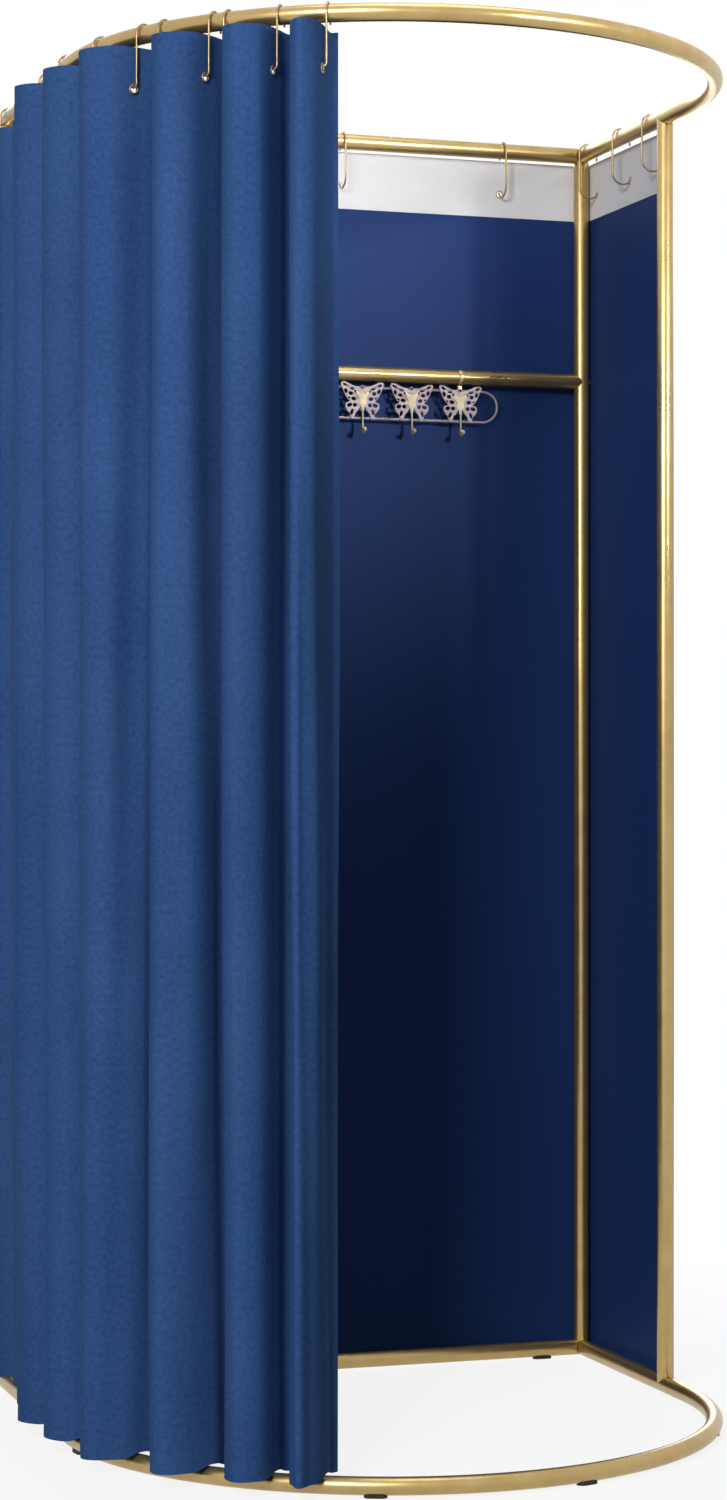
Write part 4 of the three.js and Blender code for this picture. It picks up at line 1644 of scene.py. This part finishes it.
    def butterfly(self) -> Piece:
        """One butterfly: its wings, its head, and the body plate with the coat hook.

        Returns:
            The butterfly, at the origin.
        """
        rose, pale = self.finishes.rose, self.finishes.pale
        wings = self.cut_plate("wings", [self.mirrored(self.wing), *self.window_outlines()], 0, self.wing_edge)
        middle = self.cut_plate("body_plate", [self.mirrored(self.middle)], -self.plate / 2, self.body_edge)
        head = Vector((0, -self.plate, self.spacing / 2 - self.rise))
        torus = {"major_radius": self.head_radius, "minor_radius": self.head_wire, "rotation": ALONG_Y}
        torus |= {"major_segments": 24, "minor_segments": 10, "location": head}
        ring = new(bpy.ops.mesh.primitive_torus_add, "head_ring", **torus)
        flat = (1, self.pupil_share, 1)
        pupil = self.ball("head_middle", head, self.head_radius, rings=10, scale=flat)
        points = self.hook_line()
        hook = wire("hook_wire", points, self.hook_wire / 2)
        tip = self.ball("hook_ball", points[-1], self.ball_size / 2, rings=12)
        for part in (middle, hook, tip):
            dress(part, pale)
        for part in (wings, ring):
            dress(part, rose)
        dress(pupil, self.finishes.nylon)
        smooth(ring, angle=60)
        return join([wings, middle, ring, pupil, hook, tip], "butterfly")

    def ball(self, name: str, place: Vector, radius: float, rings: int, scale: Triple = (1, 1, 1)) -> Piece:
        """A ball that may be flat."""
        ball = {"segments": 20, "ring_count": rings, "radius": radius, "location": place}
        return smooth(new(bpy.ops.mesh.primitive_uv_sphere_add, name, scale, **ball), angle=60)

    def hook_line(self) -> list[Vector]:
        """The J-shaped hook that is welded to the body plate.

        Returns:
            The middle of its wire, down to its tip.
        """
        low = -self.height / 2 - self.hook_drop + self.hook_radius
        face = -self.plate / 2 - self.hook_wire / 2
        start = -self.hook_start_share * self.height
        points = [Vector((0, face, z)) for z in (start, (start + low) / 2, low)]
        for turn in turns(self.hook_steps)[1:]:
            reach = self.hook_radius * (1 - math.cos(turn))
            points.append(Vector((0, face - reach, low - self.hook_radius * math.sin(turn))))
        return points


# Small parts that keep their CAD shape


def dress_kept_nodes(finishes: Finishes) -> None:
    """Gives every CAD node that still shows its finish.

    Args:
        finishes: The finishes of the room.
    """
    kinds = {"plug": finishes.nylon, "screw": finishes.steel, "pad": finishes.rubber}
    for name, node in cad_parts.items():
        for word, material in kinds.items():
            if word in name:
                dress(node, material)


# Studio


@dataclass
class Lamp:
    """A soft square lamp that looks at the room."""

    name: str
    place: Triple
    target: Triple
    size: float
    power: float
    spread: float = 180.0

    def build(self) -> None:
        """Adds the lamp."""
        bpy.ops.object.light_add(type="AREA", location=self.place)
        lamp = bpy.context.object
        lamp.name = self.name
        assign(lamp.data, shape="SQUARE", size=self.size, energy=self.power, spread=math.radians(self.spread))
        aim = Vector(self.target) - Vector(self.place)
        lamp.rotation_euler = aim.to_track_quat("-Z", "Y").to_euler()


@dataclass
class Studio:
    """The pale floor, the white surroundings, the lamps and the camera at the photograph's angle."""

    eye: Triple = (-1.5334, -4.5548, 0.9856)
    look: Triple = (0.3145, 0.9493, 0.0)
    lens: float = 77.98
    shift: float = 0.008
    floor_size: float = 24.0
    floor_drop: float = 0.5 * MM
    surroundings: float = 0.1
    paper: float = 0.85
    paper_roughness: float = 0.7
    paper_bounce: float = 0.22
    white_share: float = 0.86
    white_from: float = 0.7
    white_to: float = 1.8
    lamps: tuple[Lamp, ...] = (
        Lamp("key_lamp", (-3.4, -4.9, 3.3), (-0.1, -0.3, 1.3), size=1.5, power=280.0),
        Lamp("room_lamp", (1.6, -2.6, 2.3), (-0.14, 0.47, 1.7), size=0.5, power=2.0, spread=22.0),
        Lamp("top_lamp", (0.2, -0.4, 4.2), (0, 0, 1.0), size=1.6, power=24.0),
        Lamp("back_lamp", (1.2, 4.7, 2.4), (0, 0.4, 1.0), size=3.5, power=120.0),
    )

    def build(self) -> None:
        """Sets up the studio."""
        clear_selection()
        for lamp in self.lamps:
            lamp.build()
        self.build_world()
        self.build_floor()
        bpy.ops.object.camera_add(location=self.eye)
        camera = bpy.context.object
        camera.name = "photo_camera"
        camera.rotation_euler = Vector(self.look).to_track_quat("-Z", "Y").to_euler()
        assign(camera.data, lens=self.lens, shift_y=self.shift)
        bpy.context.scene.camera = camera

    def build_world(self) -> None:
        """Makes the surroundings white to the eye and in reflections, and softer as a light."""
        world = bpy.data.worlds.new("surroundings")
        world.use_nodes = True
        bpy.context.scene.world = world
        graph = Graph(world.node_tree)
        soft, white = (
            graph.add("ShaderNodeBackground", {"Color": WHITE, "Strength": strength})[0]
            for strength in (self.surroundings, 1.0)
        )
        graph.add("ShaderNodeOutputWorld", {"Surface": graph.mix(graph.seen(), soft, white)})

    def build_floor(self) -> None:
        """Lays the floor: white further off, with the room's shadow near it, and dim as a source of light."""
        size, place = self.floor_size, (0, 0, -self.floor_drop)
        floor = new(bpy.ops.mesh.primitive_plane_add, "studio_floor", size=size, location=place)
        graph = open_material("floor_paper")
        colour = (self.paper, self.paper, self.paper, 1)
        inputs = {"Base Color": colour, "Roughness": self.paper_roughness}
        shader = graph.add("ShaderNodeBsdfPrincipled", inputs)[0]
        place = graph.add("ShaderNodeTexCoord")["Object"]
        distance = graph.add("ShaderNodeVectorMath", {0: place}, operation="LENGTH")["Value"]
        share = graph.spread(distance, self.white_from, self.white_to, self.white_share, 1.0)
        white = graph.add("ShaderNodeEmission", {"Color": WHITE, "Strength": 1.0})[0]
        bounce = (self.paper_bounce, self.paper_bounce, self.paper_bounce, 1)
        dim = graph.add("ShaderNodeBsdfDiffuse", {"Color": bounce})[0]
        mixed = graph.mix(graph.seen(), dim, graph.mix(share, shader, white))
        graph.add("ShaderNodeOutputMaterial", {"Surface": mixed})
        dress(floor, bpy.data.materials["floor_paper"])


def main() -> None:
    """Builds the room and its studio."""
    logging.basicConfig(level=logging.INFO, format="%(name)s: %(message)s")
    plan = RoomPlan.read()
    finishes = Finishes()
    Studio().build()
    for kind in (TubeFrame, Liner, Curtain, CoatRack):
        kind(plan, finishes).build()
        log.info("%s is built", kind.__name__)
    dress_kept_nodes(finishes)
    bpy.context.scene.view_settings.view_transform = "Standard"


if __name__ == "__main__":
    main()
